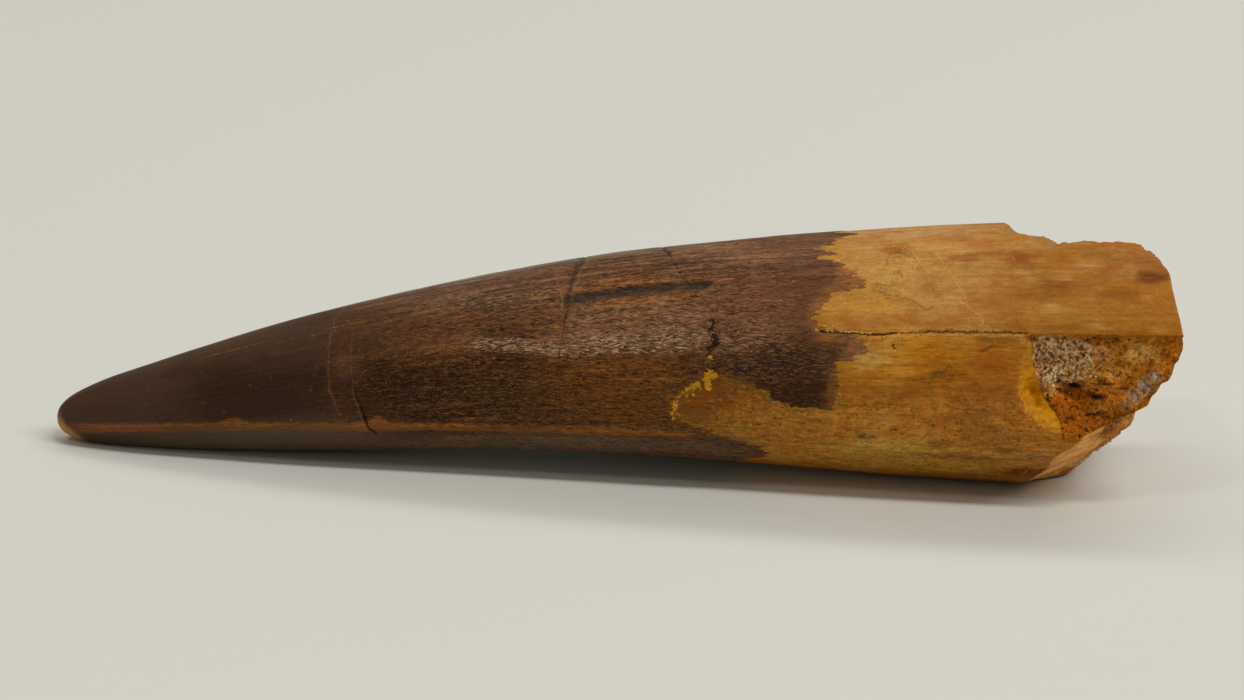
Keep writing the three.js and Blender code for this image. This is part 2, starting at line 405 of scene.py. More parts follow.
@dataclass(frozen=True)
class CrestChips:
    """The chips along the crest of the root, as the height that is left along x."""

    places: tuple = (40.0, 41.2, 42.0, 44.6, 45.6, 47.4, 48.4, 51.6, 54.0, 57.0, 61.0)
    heights: tuple = (31, 27.9, 27.4, 27.2, 26.2, 26.2, 26.6, 26.7, 26.5, 25.8, 24.3)
    slope: float = 0.3
    roughness: float = 0.25
    skew: float = 0.22
    across: tuple = (-7.0, 15.0)
    grit: float = 0.12

    def floor(self, x: np.ndarray, y: np.ndarray) -> np.ndarray:
        """Give the height that the chips leave.

        Args:
            x: Along the tooth.
            y: Across the tooth.

        Returns:
            Heights, far above the tooth where there are no chips.
        """
        along = x - self.skew * (y + 3) + 0.7 * bumps(y / 2.6, 5)
        uneven = self.roughness * bumps(x / 1.3, y / 1.7)
        grit = self.grit * (bumps(x / 0.6 + 4, y / 0.6) - 0.5)
        height = np.interp(along, self.places, self.heights) - self.slope * (y + 3)
        beyond = (x < self.places[0]) | (y < self.across[0]) | (y > self.across[1])
        return np.where(beyond, FAR, height + uneven + grit)


# Patches, cracks and stains, as places along and angles around.


@dataclass(frozen=True)
class Patch:
    """A patch with a clear edge, as an outline of (at, angle) corners."""

    corners: tuple

    def inside(self, form: Form, at: np.ndarray, angle: np.ndarray, reach: float = REACH) -> np.ndarray:
        """Measure how far inside the outline points are.

        Args:
            form: The outer form.
            at: Distance from the tip.
            angle: Angle about the middle.
            reach: The furthest distance that is measured.

        Returns:
            Millimetres inside, less than 0 outside.
        """
        points = form.unroll(at, angle)
        corners = form.unroll(*np.asarray(self.corners, float).T)
        result = np.full(len(points), -reach)
        near = np.all((points > corners.min(0) - reach) & (points < corners.max(0) + reach), 1)
        spots = points[near]
        distance = np.full(len(spots), reach)
        crossed = np.zeros(len(spots), bool)
        for a, b in zip(corners, np.roll(corners, -1, 0)):
            edge = b - a
            share = np.clip((spots - a) @ edge / max(edge @ edge, 1e-9), 0, 1)
            away = np.linalg.norm(spots - a - share[:, None] * edge, axis=1)
            distance = np.minimum(distance, away)
            spans = (a[1] > spots[:, 1]) != (b[1] > spots[:, 1])
            if a[1] != b[1]:
                crossing = a[0] + (spots[:, 1] - a[1]) / (b[1] - a[1]) * edge[0]
                crossed ^= spans & (spots[:, 0] < crossing)
        result[near] = np.where(crossed, distance, -distance)
        return result


@dataclass(frozen=True)
class Crack:
    """A thin line across the surface, through (at, angle) points."""

    points: tuple
    half_width: float
    depth: float = 0.1
    strength: float = 1.0
    joint_near: float = 1.5
    joint_ease: float = 0.3

    def measure(self, form: Form, at: np.ndarray, angle: np.ndarray) -> np.ndarray:
        """Measure from the line, in half widths.

        Args:
            form: The outer form.
            at: Distance from the tip.
            angle: Angle about the middle.

        Returns:
            One row for each point: how far to one side, and how far past an end.
        """
        spots = form.unroll(at, angle)
        line = form.unroll(*np.asarray(self.points, float).T)
        best = np.full((len(spots), 2), FAR)
        size = np.full(len(spots), FURTHEST)
        for i, (a, b) in enumerate(zip(line, line[1:])):
            edge = (b - a) / np.linalg.norm(b - a)
            along = (spots - a) @ edge
            side = (spots - a) @ np.array([-edge[1], edge[0]])
            over = np.maximum(np.maximum(-along, along - np.linalg.norm(b - a)), 0)
            closer = np.hypot(side, over) < size
            size = np.where(closer, np.hypot(side, over), size)
            best[closer] = np.stack([side, over], 1)[closer]
            inner = (along < 0) & (i > 0) | (along > 0) & (i < len(line) - 2)
            near = size[closer & inner] < self.joint_near
            best[closer & inner, 1] *= np.where(near, self.joint_ease, 1)
        return best / self.half_width


@dataclass(frozen=True)
class Stain:
    """A soft-edged patch of colour."""

    at: float
    angle: float
    along: float
    around: float
    colour: str
    strength: float = 1.0
    ragged: float = 0.5
    slant: float = 0.0
    fade: tuple = (0.35, 1.25)

    def share(self, form: Form, at: np.ndarray, angle: np.ndarray) -> np.ndarray:
        """Give how much of the colour each point takes.

        Args:
            form: The outer form.
            at: Distance from the tip.
            angle: Angle about the middle.

        Returns:
            Shares from 0 to the stain's strength.
        """
        spots = form.unroll(at, angle)
        middle = form.unroll(self.at, self.angle)
        dx, dy = (spots - middle).T
        dy = dy - self.slant * dx
        uneven = 0.6 * bumps(at / 1.7 + self.at, spots[:, 1] / 0.8)
        uneven = uneven + 0.4 * bumps(at / 0.7, spots[:, 1] / 0.35 + self.angle)
        away = np.hypot(dx / self.along, dy / self.around) + self.ragged * 0.5 * uneven
        return self.strength * (1 - step(away, *self.fade))


def stained(
    form: Form, base: str, stains: Sequence[Stain], at: np.ndarray, angle: np.ndarray
) -> np.ndarray:
    """Lay stains over a base colour.

    Args:
        form: The outer form.
        base: The colour code under the stains.
        stains: The stains, in the order they are laid.
        at: Distance from the tip.
        angle: Angle about the middle.

    Returns:
        One linear colour for each point.
    """
    colours = np.tile(np.array(linear(base)), (len(at), 1))
    for stain in stains:
        share = stain.share(form, at, angle)[:, None]
        colours = mix(colours, np.array(linear(stain.colour)), share)
    return colours


@dataclass(frozen=True)
class Blob:
    """A soft area of the surface, strongest in its middle."""

    at: float
    angle: float
    along: float
    around: float
    power: int = 2

    def share(self, at: np.ndarray, angle: np.ndarray) -> np.ndarray:
        """Give each point's share of the area.

        Args:
            at: Distance from the tip.
            angle: Angle about the middle.

        Returns:
            Shares, 1 in the middle and falling to 0.
        """
        along = ((at - self.at) / self.along) ** self.power
        return np.exp(-along - ((angle - self.angle) / self.around) ** self.power)


# Node graphs.


class Wire:
    """A value on its way through a node graph, so that sums read as sums."""

    def __init__(self, graph: "Graph", socket: bpy.types.NodeSocket) -> None:
        """Hold the socket that the value comes out of."""
        self.graph = graph
        self.socket = socket

    def __add__(self, other: "Feed") -> "Wire":
        """Add."""
        return self.graph.sum("ADD", self, other)

    def __sub__(self, other: "Feed") -> "Wire":
        """Subtract."""
        return self.graph.sum("SUBTRACT", self, other)

    def __mul__(self, other: "Feed") -> "Wire":
        """Multiply."""
        return self.graph.sum("MULTIPLY", self, other)

    def __rsub__(self, other: float) -> "Wire":
        """Subtract from a number."""
        return self.graph.sum("SUBTRACT", other, self)

    __radd__ = __add__
    __rmul__ = __mul__


Feed = Union[Wire, float, Colour]


class Graph:
    """A material's node graph, built by calls that each add a node."""

    def __init__(self, name: str) -> None:
        """Start a material.

        Args:
            name: The material's name.
        """
        self.material = bpy.data.materials.new(name)
        self.material.use_nodes = True
        self.tree = self.material.node_tree
        self.tree.nodes.clear()

    def node(self, kind: str, **settings: object) -> bpy.types.Node:
        """Add a node with its settings.

        Args:
            kind: The node's type.
            settings: Properties of the node.

        Returns:
            The node.
        """
        made = self.tree.nodes.new(kind)
        for name, value in settings.items():
            setattr(made, name, value)
        return made

    def feed(self, socket: bpy.types.NodeSocket, value: Feed) -> None:
        """Give a socket its value, by a link or as a number.

        Args:
            socket: The input.
            value: A wire, a number or a colour.
        """
        if isinstance(value, Wire):
            self.tree.links.new(value.socket, socket)
        elif isinstance(value, tuple) and socket.type == "RGBA":
            socket.default_value = (*value, 1.0)
        else:
            socket.default_value = value

    def sum(self, operation: str, *values: Feed) -> Wire:
        """Do one sum.

        Args:
            operation: The Math node's operation.
            values: What goes in.

        Returns:
            The result.
        """
        made = self.node("ShaderNodeMath", operation=operation)
        for socket, value in zip(made.inputs, values):
            self.feed(socket, value)
        return Wire(self, made.outputs[0])

    def read(self, name: str, part: str = "Fac") -> Wire:
        """Read what the mesh carries under a name, as Fac, Vector or Color."""
        return Wire(self, self.node("ShaderNodeAttribute", attribute_name=name).outputs[part])

    def stretch(self, where: Wire, shares: Colour) -> Wire:
        """Scale a position by a share each way.

        Args:
            where: The position.
            shares: One share for each axis.

        Returns:
            The scaled position.
        """
        made = self.node("ShaderNodeVectorMath", operation="MULTIPLY")
        self.feed(made.inputs[0], where)
        self.feed(made.inputs[1], shares)
        return Wire(self, made.outputs[0])

    def noise(self, where: Wire, scale: float, detail: float = 2.0, rough: float = 0.5) -> Wire:
        """Add cloudy noise.

        Args:
            where: The position, in millimetres.
            scale: Cells in a millimetre.
            detail: Finer layers on top.
            rough: How strong the finer layers are.

        Returns:
            Numbers about 0.5.
        """
        made = self.node("ShaderNodeTexNoise")
        self.feed(made.inputs["Vector"], where)
        self.feed(made.inputs["Scale"], scale)
        self.feed(made.inputs["Detail"], detail)
        self.feed(made.inputs["Roughness"], rough)
        return Wire(self, made.outputs["Fac"])

    def warp(self, where: Wire, scale: float, amount: float) -> Wire:
        """Push a position about by a cloudy noise.

        Args:
            where: The position, in millimetres.
            scale: Cells in a millimetre.
            amount: How far it is pushed.

        Returns:
            The pushed position.
        """
        cloud = self.node("ShaderNodeTexNoise")
        self.feed(cloud.inputs["Vector"], where)
        self.feed(cloud.inputs["Scale"], scale)
        centred = self.node("ShaderNodeVectorMath", operation="SUBTRACT")
        self.tree.links.new(cloud.outputs["Color"], centred.inputs[0])
        self.feed(centred.inputs[1], (0.5, 0.5, 0.5))
        pushed = self.node("ShaderNodeVectorMath", operation="MULTIPLY_ADD")
        self.tree.links.new(centred.outputs[0], pushed.inputs[0])
        self.feed(pushed.inputs[1], (amount, amount, amount))
        self.feed(pushed.inputs[2], where)
        return Wire(self, pushed.outputs[0])

    def rise(self, value: Wire, low: float, high: float, top: Feed = 1.0) -> Wire:
        """Rise smoothly from 0 at low to the top at high.

        Args:
            value: What decides.
            low: Where the rise starts.
            high: Where it ends.
            top: The value at the end.

        Returns:
            The share.
        """
        made = self.node("ShaderNodeMapRange", interpolation_type="SMOOTHSTEP")
        falls = low > high
        ends = (high, low) if falls else (low, high)
        values = (top, 0.0) if falls else (0.0, top)
        for socket, fed in zip(made.inputs, (value, *ends, *values)):
            self.feed(socket, fed)
        return Wire(self, made.outputs[0])

    def blend(self, share: Feed, low: Feed, high: Feed, how: str = "MIX") -> Wire:
        """Blend two colours.

        Args:
            share: How much of the second.
            low: The first colour.
            high: The second colour.
            how: The Mix node's blend type.

        Returns:
            The colour.
        """
        made = self.node("ShaderNodeMix", data_type="RGBA", blend_type=how)
        for index, value in ((0, share), (6, low), (7, high)):
            self.feed(made.inputs[index], value)
        return Wire(self, made.outputs[2])

    def shade(self, colour: Wire, share: Wire) -> Wire:
        """Multiply a colour by a number.

        Args:
            colour: The colour.
            share: The number.

        Returns:
            The lighter or darker colour.
        """
        made = self.node("ShaderNodeVectorMath", operation="SCALE")
        self.feed(made.inputs[0], colour)
        self.feed(made.inputs["Scale"], share)
        return Wire(self, made.outputs[0])

    def finish(
        self, colour: Feed, roughness: Feed, height: Wire | None, specular: float
    ) -> bpy.types.Material:
        """End the graph in one surface shader.

        Args:
            colour: The surface's colour.
            roughness: Its roughness.
            height: Its relief in millimetres, or None.
            specular: How strongly it shines.

        Returns:
            The material.
        """
        shader = self.node("ShaderNodeBsdfPrincipled")
        self.feed(shader.inputs["Base Color"], colour)
        self.feed(shader.inputs["Roughness"], roughness)
        shader.inputs["Specular IOR Level"].default_value = specular
        if height is not None:
            relief = self.node("ShaderNodeBump")
            relief.inputs["Distance"].default_value = MM
            self.feed(relief.inputs["Height"], height)
            self.tree.links.new(relief.outputs[0], shader.inputs["Normal"])
        output = self.node("ShaderNodeOutputMaterial")
        self.tree.links.new(shader.outputs[0], output.inputs[0])
        return self.material


# Meshes, and the tooth's patches, cracks and stains.


def make_piece(
    name: str, points: np.ndarray, faces: np.ndarray, material: bpy.types.Material
) -> bpy.types.Object:
    """Make a smooth-shaded object from arrays.

    Args:
        name: The object's name.
        points: Corners, in millimetres.
        faces: Rows of corner numbers, all quads or all triangles.
        material: The finish.

    Returns:
        The object, in the scene.
    """
    mesh = bpy.data.meshes.new(name)
    sides = faces.shape[1]
    mesh.vertices.add(len(points))
    mesh.vertices.foreach_set("co", (points * MM).astype(np.float32).ravel())
    mesh.loops.add(faces.size)
    mesh.loops.foreach_set("vertex_index", faces.astype(np.int32).ravel())
    mesh.polygons.add(len(faces))
    mesh.polygons.foreach_set("loop_start", np.arange(0, faces.size, sides, dtype=np.int32))
    mesh.polygons.foreach_set("loop_total", np.full(len(faces), sides, np.int32))
    mesh.update(calc_edges=True)
    mesh.validate()
    mesh.shade_smooth()
    mesh.materials.append(material)
    made = bpy.data.objects.new(name, mesh)
    bpy.context.scene.collection.objects.link(made)
    return made


def carry(mesh: bpy.types.Mesh, name: str, values: np.ndarray) -> None:
    """Store numbers, vectors or colours on a mesh's corners for its material to read.

    Args:
        mesh: The mesh.
        name: The name to store them under.
        values: One number, or one row of three, for each corner.
    """
    if values.ndim == 1:
        layer = mesh.attributes.new(name, "FLOAT", "POINT")
        layer.data.foreach_set("value", values.astype(np.float32))
        return
    layer = mesh.attributes.new(name, "FLOAT_VECTOR", "POINT")
    layer.data.foreach_set("vector", values.astype(np.float32).ravel())


def keep_in_box(points: np.ndarray) -> np.ndarray:
    """Hold points, in millimetres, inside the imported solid's box."""
    low, high = (np.array(corner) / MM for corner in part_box(SOLID))
    return np.clip(points, low, high)


class Edge(Enum):
    """The edges between finishes on the tooth."""

    ENAMEL = "enamel"
    STREAK = "streak"
    YELLOW_CRUST = "yellow_crust"
    YELLOW_BAND = "yellow_band"
    FLAKE = "flake"


def make_cracks(*rows: tuple) -> tuple[Crack, ...]:
    """Make cracks from rows of points, half width, depth and strength."""
    return tuple(Crack(*row) for row in rows)


def make_stains(*rows: tuple) -> tuple[Stain, ...]:
    """Make stains from rows of place, angle, size along and around, colour and the rest."""
    return tuple(Stain(*row) for row in rows)


ENAMEL_EDGE = Patch((
    (-60, -125), (76, -125), (75.6, -95), (75.0, -75), (75.4, -62), (78.3, -49), (77.4, -40),
    (75.4, -33.4), (71.2, -23.6), (69.2, -20), (68.6, -11), (70.7, 0), (73.2, 6), (75.6, 2.6), (78.2, -5),
    (79.8, -10.4), (82.6, -12), (84.8, -11.6), (85.3, -7), (85.3, -2), (85.6, 2), (85.1, 9), (85.0, 13.5),
    (86.5, 16), (88.3, 18.8), (88.3, 23), (87.0, 26), (85.2, 29), (83.2, 32), (82.5, 36), (83.9, 44.8),
    (85.3, 50), (87.9, 52), (87.5, 57), (85.0, 61.4), (85.7, 64.6), (82.9, 69.4), (85.0, 72.2),
    (82.6, 77.4), (84.9, 84), (84.6, 88), (86.9, 93.2), (84.4, 99.4), (85.6, 106), (83.4, 113),
    (85.8, 121), (84.2, 130), (87.5, 140), (86.2, 149), (82.8, 155), (84.5, 166), (81.0, 178),
    (83.2, 190), (79.5, 199), (81.4, 210), (77.2, 222), (79.0, 236), (75.4, 250), (76.0, 265),
    (75.0, 285), (75.4, 300), (-60, 300),
))
DARK_STREAK = Patch((
    (56.7, 57.4), (60.4, 58.8), (64.6, 59.6), (69.8, 59.6), (72.4, 57.7), (71.2, 54), (69.8, 54.8),
    (64.6, 54.2), (60.5, 52.9), (57.0, 51.6),
))
YELLOW_BAND = Patch((
    (104.3, 25), (104.0, 14), (103.7, 4.6), (104.0, -3), (104.6, -9), (105.6, -11.5), (106.4, -15.5),
    (108.4, -18), (108.9, -15.5), (107.6, -9), (106.6, -2), (106.1, 7), (105.4, 16.4), (104.7, 25),
))
STONE_SCAR = Patch((
    (104.5, 30), (104.9, 16.4), (105.5, 7.2), (106.0, -1.4), (106.9, -7.8), (108.0, -14.4),
    (108.4, -21.8), (110.1, -23), (111.9, -21), (113.2, -17.4), (114.6, -14), (126, -14), (126, 30),
))
LIP = Patch((
    (107.2, -40), (108.2, -31), (109.4, -25.0), (111.3, -23.2), (112.0, -29), (111.2, -38), (110.1, -48),
    (108.4, -51),
))
DARK_CRACKS = make_cracks(
    (((34.5, 9), (34.7, 3), (35.0, -6), (35.2, -10)), 0.06, 0.12, 0.6),
    (((35.2, -10), (35.7, -23), (36.1, -30), (36.5, -34)), 0.12, 0.18, 0.9),
    (((58.9, 146), (59.2, 128), (58.3, 112), (57.9, 98)), 0.12, 0.12, 0.6),
    (((57.9, 98), (57.5, 84)), 0.3, 0.2, 0.55),
    (((57.5, 84), (57.4, 74), (57.1, 62), (56.9, 50)), 0.2, 0.1, 0.5),
    (((57.0, 50), (56.9, 42), (56.7, 32), (56.5, 20)), 0.06, 0.09, 0.62),
    (((56.5, 20), (56.4, 11), (56.2, -2), (56.0, -18)), 0.05, 0.04, 0.45),
    (((65.2, 124), (66.2, 108), (66.7, 94)), 0.1, 0.1, 0.6), (((66.7, 94), (67.3, 86)), 0.2, 0.12, 0.8),
    (((67.3, 86), (68.0, 72), (69.0, 61), (70.0, 57)), 0.07, 0.06, 0.5),
    (((72.4, 34.6), (72.2, 31.6)), 0.27, 0.2, 1.0),
    (((72.2, 31.8), (72.0, 29.4), (72.6, 25.6)), 0.07, 0.1, 0.8),
    (((72.7, 27.0), (72.7, 23.8), (72.2, 21.4)), 0.27, 0.2, 1.0),
    (((72.2, 21.6), (72.1, 18.6)), 0.08, 0.1, 0.8),
    (((83.4, 28.9), (86.4, 27.9), (88.1, 27.4), (89.6, 26.9), (91, 27.9)), 0.09, 0.12, 0.95),
    (((91.4, 27.9), (95, 28.4), (97.6, 28.2), (100, 28.4), (104.2, 28)), 0.07, 0.1, 0.75),
    (((94.0, 28.2), (95.6, 28.6), (96.4, 28.3)), 0.12, 0.12, 0.8),
    (((97.8, 28.1), (99.3, 28.5)), 0.12, 0.12, 0.75), (((101.2, 28.4), (102.6, 28.2)), 0.1, 0.1, 0.7),
    (((90.85, 21.8), (90.95, 21.0)), 0.11, 0.1, 1.0),
)
BROWN_MARKS = make_cracks(
    (((94.8, 6.2), (95.4, 9.8), (95.9, 9.2), (96.5, 12.8), (97.1, 10.8), (96.9, 7.6)), 0.15, 0.03, 0.6),
    (((99.6, 19.6), (100.2, 21.0), (100.8, 22.2)), 0.17, 0.03, 0.8),
    (((91.7, 27.2), (91.8, 24.6), (91.7, 21.4)), 0.08, 0.02, 0.35),
    (((91.9, 77), (92.9, 66), (93.8, 58), (94.9, 48)), 0.08, 0.03, 0.28),
    (((89.9, 63), (90.1, 67.5), (90.7, 69.8), (91.4, 70.2), (92.3, 67.6)), 0.17, 0.03, 0.42),
    (((90.7, 58.0), (91.2, 59), (91.7, 56.6)), 0.16, 0.03, 0.75),
    (((89.0, 49.8), (90.4, 47.4), (92.0, 45.2), (93.4, 41.8)), 0.1, 0.03, 0.5),
    (((88.8, 53.4), (90.0, 51.6), (91.0, 51.8)), 0.12, 0.03, 0.5),
    (((88.6, 49.8), (89.4, 48.4), (90.2, 45)), 0.14, 0.03, 0.5),
    (((93.4, 41.4), (94.0, 39.2), (94.8, 40.4)), 0.14, 0.03, 0.55),
    (((90.4, -45), (91.6, -38), (92.8, -31), (94.4, -23), (95.4, -18)), 0.14, 0.05, 0.55),
    (((102, 32.9), (104.6, 31.6), (107.5, 31.4), (111.5, 33.0)), 0.06, 0.02, 0.35),
    (((100.5, -50), (102.4, -49), (105.4, -49)), 0.13, 0.02, 0.7),
)
LIGHT_CRACKS = make_cracks(
    (((34.0, 196), (33.6, 168), (32.8, 140), (32.6, 112), (32.2, 92)), 0.09, 0, 0.4),
    (((32.2, 92), (31.8, 78), (31.7, 69), (31.5, 48), (31.7, 15), (32.1, 1), (32.8, -13)), 0.1, 0, 0.45),
    (((34.0, 60), (33.9, 41), (34.2, 24), (34.4, 12)), 0.07, 0, 0.35),
    (((34.3, 12), (34.4, 3), (34.8, -8), (35.3, -22), (35.6, -30)), 0.08, 0, 0.5),
    (((32.8, -3), (33.6, -9), (34.6, -16)), 0.06, 0, 0.3),
    (((55.3, 84), (55.6, 72), (56.2, 60)), 0.09, 0, 0.8),
    (((56.2, 60), (56.6, 55), (56.5, 50)), 0.17, 0, 0.9),
    (((58.9, 96), (58.3, 84), (57.8, 64), (57.3, 54)), 0.09, 0, 0.95),
    (((66.1, 92), (67.0, 80), (67.8, 66)), 0.05, 0, 0.5), (((51.0, 75), (51.2, 67)), 0.06, 0, 0.5),
    (((47.4, 18.4), (47.6, 13), (48.2, 8.4)), 0.06, 0, 0.5),
    (((93.0, 80), (95.2, 67), (96.6, 57), (98.2, 44)), 0.08, 0, 0.55),
    (((97.3, 44), (98.7, 38.8), (99.8, 35), (99.9, 29)), 0.08, 0, 0.65),
    (((82.6, 29.3), (84.6, 28.9), (86.4, 28.6), (88.8, 28.2)), 0.1, 0, 1.0),
    (((88.4, 26.0), (92, 26.6), (96, 27.0), (100, 26.9), (104, 27.2)), 0.12, 0, 0.75),
    (((90.4, 30), (94, 30.2), (98, 29.8), (101.5, 29.6)), 0.09, 0, 0.6),
    (((90.0, 24), (90.2, 14), (90.0, 4), (90.6, -4)), 0.14, 0, 0.22),
    (((96.2, 18), (97.6, 6), (98.8, -4)), 0.1, 0, 0.2),
    (((91.0, -12), (92.4, -22), (90.6, -34), (88.6, -44)), 0.16, 0, 0.3),
    (((89.3, 62), (89.9, 66.4), (91.1, 69.6), (92.3, 65.6), (92.8, 60.6)), 0.12, 0, 0.5),
    (((88.4, 54.6), (89.7, 53.4), (91.2, 50.8), (92.6, 46.8), (93.8, 46.2)), 0.12, 0, 0.5),
    (((89.2, 58.6), (90.3, 59.2), (91.6, 57.2), (92.8, 57.6)), 0.1, 0, 0.4),
    (((91.8, 75.8), (92.6, 70), (93.5, 63.2)), 0.09, 0, 0.6),
    (((88.2, 48), (90.4, 46), (92.2, 46.4)), 0.09, 0, 0.45), (((90.8, 41), (93.0, 40)), 0.08, 0, 0.45),
    (((56.2, 5), (56.3, -4)), 0.07, 0, 0.8), (((35.9, 22.4), (35.3, 20.4), (34.9, 14)), 0.08, 0, 0.35),
    (((45.2, 86), (46.0, 77), (46.5, 68)), 0.16, 0, 0.35),
)
CRUST_SPOTS = (
    (72.2, 9.0, 0.34), (71.9, 7.0, 0.5), (72.6, 5.8, 0.42), (71.8, 4.2, 0.4), (72.0, 1.6, 0.42),
    (71.9, -1.2, 0.32), (71.0, 1.2, 0.36), (70.4, 0.0, 0.3), (70.0, -1.6, 0.2), (71.2, -2.0, 0.2),
    (69.4, -4.4, 0.22), (69.0, -6.6, 0.28), (68.7, -9.4, 0.34), (68.5, -11.8, 0.36), (68.6, -14.2, 0.32),
    (68.3, -17.0, 0.26), (68.6, -20.4, 0.2), (69.8, -6.8, 0.16), (69.9, -9.6, 0.14), (70.4, -5.6, 0.12),
    (72.2, 16.8, 0.22), (73.8, 4.4, 0.18), (74.4, 2.0, 0.12), (55.1, 44.0, 0.18), (56.0, 38.0, 0.17),
    (57.3, 10.0, 0.1), (79.6, 62.0, 0.08), (84.4, 31.2, 0.26), (83.9, 30.2, 0.18), (80.6, 56.0, 0.1),
    (83.0, 29.5, 0.13), (83.8, 29.2, 0.15), (84.6, 29.0, 0.13), (85.5, 28.8, 0.14), (86.4, 28.5, 0.12),
    (87.6, 28.3, 0.13),
)
CROWN_STAINS = make_stains(
    (8, 20, 16, 14, "4b3429", 0.9, 0.2), (24, 25, 11, 12, "362216", 0.95, 0.3),
    (27, 62, 13, 3.5, "4c3224", 0.7, 0.5), (33.2, 20, 1.8, 24, "4f2c1c", 0.85, 0.3),
    (33.8, 27, 1.6, 2.0, "6d4a33", 0.5, 0.9), (43, 4, 12, 7, "331708", 0.95, 0.4),
    (44, 42, 9, 3.6, "613a20", 0.8, 0.6), (52, 38, 8, 1.2, "3d2510", 0.8, 0.4, 0.18),
    (46, 32, 4, 1.6, "6c3c1a", 0.6, 0.8), (50, 14, 5, 4, "452208", 0.6, 0.6),
    (51, -5, 6, 2.2, "42280a", 0.8, 0.7), (61, 3, 6, 4, "6e3c12", 0.5, 0.7),
    (65, -12, 5, 3, "74440c", 0.7, 0.7), (63, 2, 10, 7, "663908", 0.95, 0.4),
    (64, 42, 13, 5.5, "74492c", 0.85, 0.5), (58, 70, 8, 3.5, "74482e", 0.7, 0.5),
    (64, 50, 7, 0.8, "8c5a30", 0.5, 0.7, 0.04), (63.5, 61.8, 6.5, 0.5, "8e5a2c", 0.65, 0.7),
    (66, 60, 10, 1.6, "7c4a22", 0.6, 0.8), (79, 42, 9, 11, "6a4128", 0.9, 0.3),
    (79.5, 4, 8, 5.5, "361a0a", 0.95, 0.25), (75, 86, 15, 6, "76503a", 0.85, 0.4),
    (46, 86, 16, 5, "6e4c3a", 0.85, 0.4), (20, 90, 14, 4, "503828", 0.7, 0.4),
    # The three stains under the crown, at angles -52 to -64, are pale and grey: partly the tooth's own tint
    # and partly painted reflection of the pale floor.
    (22, -52, 20, 4.5, "604e3c", 0.9, 0.2), (52, -62, 26, 4.8, "6c5846", 0.95, 0.2),
    (71, -64, 9, 5.5, "684c38", 0.95, 0.3), (86.6, 56, 2.2, 3.6, "965e30", 0.95, 0.5),
    (84.2, 38, 2.2, 3.8, "8e5a2e", 0.95, 0.5), (87.5, 20.5, 1.7, 2.6, "966438", 0.95, 0.5),
    (86.0, 12, 1.1, 2.4, "8a5a2c", 0.8, 0.6), (84.8, -2, 0.9, 3.0, "8a5a22", 0.7, 0.8),
    (84.6, 74, 1.4, 1.6, "84502c", 0.6, 0.8), (78, 225, 12, 12, "5c3822", 0.6, 0.5),
    (50, 200, 18, 9, "4a2a16", 0.7, 0.5), (60, 150, 14, 6, "6b4028", 0.5, 0.6),
    (30, 190, 12, 10, "38241a", 0.7, 0.5),
)
